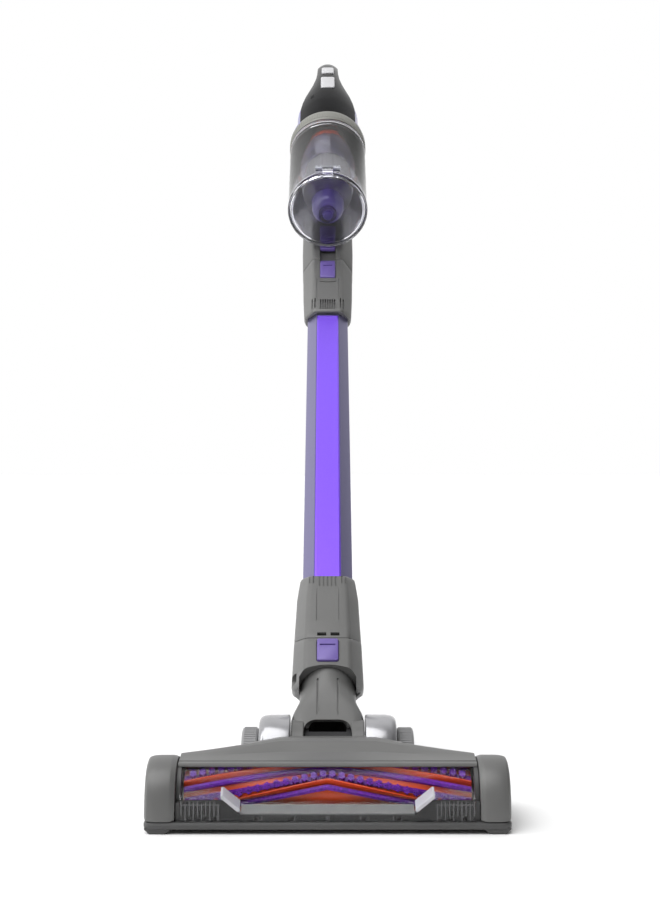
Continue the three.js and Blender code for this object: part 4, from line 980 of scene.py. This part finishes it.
HOUSING_LOW = 868.3
barrel_profile = [
    (HOUSING_LOW, 35), (HOUSING_LOW, 44), (868.8, 44.5), (872, 44.5), (874, 44), (877.6, 40.4), (880, 38.9),
    (884, 38.4), (926, 38), (936, 36.4), (946, 33), (956, 28), (968, 22), (978, 17.6), (986, 12), (990, 0),
    (958, 0), (955, 24), (930, 35)]
HANDLE_LOOP = [
    (-100, 940), (-102, 990), (-96, 1039), (-83, 1074), (-66, 1092), (-50, 1095), (-30, 1082), (-12, 1058),
    (10, 1026), (32, 1004), (47, 992), (47, 972.5), (2, 972.5), (-10, 984), (-24, 1004), (-42, 1030),
    (-54, 1041), (-66, 1034), (-70, 1010), (-66, 975), (-60, 940)]


def handle_rings():
    """Level cuts across the handle, fullest in the middle, so that its edges are round in the hand."""
    outline = softened(HANDLE_LOOP, 14, 3)
    middle = [Vector((y, w)) for y, w in outline]
    rings = []
    for x, inset in (
            (-13.4, 4.6), (-12.6, 2.7), (-11, 1.2), (-8.4, 0.3), (-5, 0), (5, 0), (8.4, 0.3), (11, 1.2),
            (12.6, 2.7), (13.4, 4.6)):
        ring = []
        for before, at, after in zip(middle[-1:] + middle[:-1], middle, middle[1:] + middle[:1]):
            along = (after - before).normalized()
            inward = Vector((along.y, -along.x))
            spot = at + inward * inset
            ring.append((x, spot.x, spot.y))
        rings.append(ring)
    return rings


foot_rings = shell_rings(
    [(HOUSING_LOW, 36, 59.5, 36, 27, 10, 10, 25), (888, 34, 56, 34, 27, 10, 10, 24)],
    [(0, 0.4), (0.03, 0), (0.5, 0), (0.96, 0), (1, 1)], lambda y: HOUSING_LOW, lambda y: 888, 3)
exhaust = [
    tool_block(-60, 60, BIN_Y - 1.8 + i * 8, BIN_Y + 1.8 + i * 8, 924, 946) for i in (-2, -1, 0, 1, 2)]
whole = lathed(barrel_profile, (0, BIN_Y), "Z", 96)
cut(whole, *exhaust)
skinned(whole, handle_rings())
skinned(whole, foot_rings)
block(whole, -22, 22, -60, -24, 868.4, 887.6)
for y0, y1, w0, w1 in ((10, 47, 872, 888), (2, 47, 972.5, 984)):
    skinned(whole, [[(x * k, y, w) for x, y in oblong(23, y0, y1, 5)]
                    for w, k in ((w0, 0.97), (w0 + 0.8, 1), (w1 - 0.8, 1), (w1, 0.97))])
# Rows along the wand, each with its ridge, half width and drop at the edge.
TOP_ROWS = [
    (HOUSING_LOW, 118.5, 34, 17), (900, 119, 34, 17), (912, 118.4, 33.4, 16.6), (925, 117.5, 31.4, 15),
    (941, 115.8, 28, 13), (957, 113.5, 23.6, 10.6), (977, 110.4, 18.8, 8.6), (999.5, 106.5, 15.2, 7),
    (1023, 101.4, 13.8, 6.5), (1048, 95, 13.4, 6.2), (1063, 89.6, 13.3, 6.2), (1074, 85.2, 13, 6.2),
    (1082.6, 80.4, 12.2, 6), (1090, 75, 10.6, 5.6), (1096.7, 68.6, 7.6, 4.6), (1100.4, 63, 4, 3.4)]


def cover_arch(row, outset, lift, thick):
    """A thin arch over the ridge, from edge to edge and back under."""
    w, ridge, half, fall = row
    spread = [mix(-1, 1, i / 20) for i in range(21)]
    over = [(t * (half + outset), -(ridge + lift - fall * abs(t) ** 2.2), w) for t in spread]
    return over + [(x * 0.97, y + thick, w) for x, y, w in reversed(over)]


recess = solid([cover_arch(row, 0.4, 20, 23) for row in TOP_ROWS])
cut(whole, recess)
for word, side in (("right", 1), ("left", -1)):
    half = whole.copy()
    bmesh.ops.bisect_plane(
        half, geom=half.verts[:] + half.edges[:] + half.faces[:], plane_co=(side * 0.12, 0, 0),
        plane_no=(-side, 0, 0), clear_outer=True)
    bmesh.ops.holes_fill(half, edges=[e for e in half.edges if e.is_boundary], sides=0)
    fitted(f"housing_{word}", half, WAND, tinted, "handheld", edge=0.25, sharp=40)
whole.free()


# ---------- top cover and controls ----------
# A gloss black ABS cover runs from the bin ring to the crown of the handle. A light grey power key and a
# smaller boost key stand in rounded openings, over a green circuit board.
piano = patterned(
    "polished_black_abs", 18, 4, ("#0f0f10", "#18181a"), (0.16, 0.28), IOR=1.45, Specular_IOR_Level=0.045)
button_grey = moulded_plastic("satin_light_grey_abs", "#cfcfd2", 0.35, drift=0.02)

bm = solid([cover_arch(row, 0, 0, 2.6) for row in TOP_ROWS])
power_hole = plate_tool(oblong(9.1, 942.8, 985.6, 3.4), -140, -90)
boost_hole = plate_tool(oblong(8.3, 1004.7, 1036.4, 5.4), -130, -60)
charge_marks = [
    plate_tool(
        softened([(-21.5, w), (-16.8, w + 1.4), (-16.8, w + 2.6), (-21.5, w + 1.2)], 0.4), -140, -100)
    for w in (919, 922.4, 925.8)]
cut(bm, power_hole, boost_hole, *charge_marks)
fitted("top_cover", bm, WAND, piano, "handheld", edge=0.3, sharp=34)


def ridge_at(w):
    return between(TOP_ROWS, w)[0]


def control_key(half, w0, w1, rise, depth, radius):
    """A key that follows the ridge, crowned a little and rounded at its corners."""
    rings = []
    outline = oblong(half, w0, w1, radius, 6)
    middle = (w0 + w1) / 2
    for lift, k in ((-depth, 1), (rise - 0.9, 1), (rise - 0.3, 0.97), (rise, 0.9)):
        rings.append([
            (x * k, -ridge_at(middle + (w - middle) * k) - lift, middle + (w - middle) * k)
            for x, w in outline])
    return solid(rings)


fitted(
    "power_button", control_key(8.7, 943.2, 985.2, 1.2, 4, 3.2), WAND, button_grey, "power_button",
    edge=0.2, sharp=30)
fitted(
    "boost_button", control_key(7.9, 1005.1, 1036, 1.0, 4, 5), WAND, button_grey, "boost_button",
    edge=0.2, sharp=30)

solder_mask, mask_shader, mask_place = new_material(
    "solder_mask_green", IOR=1.55, Coat_Weight=0.3, Roughness=0.35)
tracks = add_node(solder_mask, "ShaderNodeTexBrick", {
    "Vector": mask_place, "Scale": 1 / 0.004, "Color1": linear("#175c3a"), "Color2": linear("#1d6b45"),
    "Mortar": linear("#2f8a5c")})
join(solder_mask, tracks.outputs["Color"], mask_shader, "Base Color")
carried(solder_mask, "control_board")


# ---------- suction motor and fan ----------
# A brushless motor in a steel can, with a moulded fan of nine blades on its shaft in front of it.
can = [
    (896, 4), (896, 29.4), (896.8, 30), (905.2, 30), (906, 29), (906, 22.6), (943.6, 22), (945, 20.6),
    (945, 0), (900, 0), (900, 4)]
bm = lathed(can, (0, BIN_Y), "Z", 64)
fitted("suction_motor", bm, WAND, steel, "handheld", edge=0.2, sharp=28)
bm = lathed(
    [(880, 0), (880, 31), (881.4, 31), (883, 16), (888, 12.4), (893, 12), (893.4, 3), (899, 3), (899, 0)],
    (0, BIN_Y), "Z", 64)
BLADES = 9
for i in range(BLADES):
    rings = []
    for r, sweep in ((11, 0), (17, 14), (23, 24), (30, 32)):
        t = math.radians(360 / BLADES * i + sweep)
        out, across = Vector((math.cos(t), math.sin(t), 0)), Vector((-math.sin(t), math.cos(t), 0)) * 0.6
        top = mix(893, 885, share(r, 11, 30))
        rings.append([
            Vector((0, BIN_Y, w)) + out * r + across * k
            for w, k in ((881, -1), (881, 1), (top, 1), (top, -1))])
    skinned(bm, rings)
fitted("suction_fan", bm, WAND, violet_abs, "suction_fan", edge=0, sharp=28)


# ---------- battery pack ----------
# A black ABS pack with grip ribs on both flanks slides under the housing's foot and clicks in with a small
# light grey latch.
battery_abs = moulded_plastic("fine_matt_battery_abs", "#202022", 0.45)
pack_corners = eight_sided(34, 52, 34, -10.6, -16, 42, 47)
pack_rings = [
    [(x * k, 29 + (y - 29) * k, w) for x, y in softened(pack_corners, 3)]
    for w, k in (
        (888.4, 0.96), (889, 0.985), (890, 1), (906, 1), (907, 0.985), (908.2, 0.985), (909.2, 1),
        (970.4, 1), (971.4, 0.985), (972, 0.96))]
bm = solid(pack_rings)
for side in (1, -1):
    for i in range(7):
        block(bm, side * 26 - 0.5, side * 26 + 0.5, 20, 38, 918 + i * 5, 920 + i * 5)
fitted("battery_pack", bm, WAND, battery_abs, "battery", edge=0.35, sharp=34)
bm = solid([[(x * k, y, 951 + (w - 951) * k) for x, w in oblong(8, 940, 962, 2.4)]
                           for y, k in ((47.3, 1), (48.9, 1), (49.5, 0.93))])
for i in range(4):
    block(bm, -5, 5, 49, 49.9, 944 + i * 4.4, 945.6 + i * 4.4)
fitted("battery_latch", bm, WAND, button_grey, "battery_latch", edge=0.2)


# ---------- light and floor ----------
# Pale studio paper under soft light: bright behind and above, dimmer behind the eye and to the right, so
# that the left flanks read lighter. The eye itself sees the paper white on every side.
floor_bm = bmesh.new()
bmesh.ops.create_grid(floor_bm, x_segments=1, y_segments=1, size=14)
floor_mesh = bpy.data.meshes.new("floor")
floor_bm.to_mesh(floor_mesh)
floor_bm.free()
floor_paper = new_material("pale_studio_paper", Base_Color=linear("#fcfcfc"), Roughness=0.9)[0]
floor_mesh.materials.append(floor_paper)
floor = bpy.data.objects.new("floor", floor_mesh)
bpy.context.scene.collection.objects.link(floor)

studio = bpy.data.worlds.new("studio")
studio.use_nodes = True


def sky_share(axis, start, end, low, high):
    """How bright the paper is along one axis of the view: low before the start, high beyond the end."""
    return add_node(studio, "ShaderNodeMapRange", {
        "Value": split.outputs[axis], "From Min": start, "From Max": end, "To Min": low, "To Max": high},
        interpolation_type="SMOOTHSTEP").outputs["Result"]


def sky_math(operation, first, second):
    return add_node(studio, "ShaderNodeMath", {0: first, 1: second}, operation=operation).outputs["Value"]


way = add_node(studio, "ShaderNodeTexCoord").outputs["Generated"]
split = add_node(studio, "ShaderNodeSeparateXYZ", {"Vector": way})
level_light = sky_math(
    "MULTIPLY", sky_share("Y", -0.2, 0.35, 0.22, 1.0), sky_share("X", 0.3, 0.75, 1.0, 0.3))
all_round = sky_math("MULTIPLY", level_light, sky_share("Z", 0.35, 0.75, 1.0, 1.05))
to_eye = add_node(studio, "ShaderNodeLightPath").outputs["Is Camera Ray"]
backdrop = studio.node_tree.nodes["Background"]
backdrop.inputs["Color"].default_value = linear("#ffffff")
join(studio, sky_math("MAXIMUM", all_round, to_eye), backdrop, "Strength")
bpy.context.scene.world = studio
bpy.context.scene.view_settings.view_transform = "Standard"


def area_light(name, place, target, width, height, power):
    data = bpy.data.lights.new(name, "AREA")
    data.shape = "RECTANGLE"
    data.size, data.size_y, data.energy = width, height, power
    lamp = bpy.data.objects.new(name, data)
    lamp.location = place
    lamp.rotation_euler = (Vector(target) - Vector(place)).to_track_quat("-Z", "Y").to_euler()
    bpy.context.scene.collection.objects.link(lamp)


sun_data = bpy.data.lights.new("soft_key", "SUN")
sun_data.energy, sun_data.angle = 2.2, math.radians(50)
soft_key = bpy.data.objects.new("soft_key", sun_data)
soft_key.rotation_euler = Vector((0.3, 0.38, -0.9)).to_track_quat("-Z", "Y").to_euler()
bpy.context.scene.collection.objects.link(soft_key)
area_light("left_box", (-1.6, -0.6, 0.9), (0, -0.1, 0.4), 0.5, 1.6, 12)
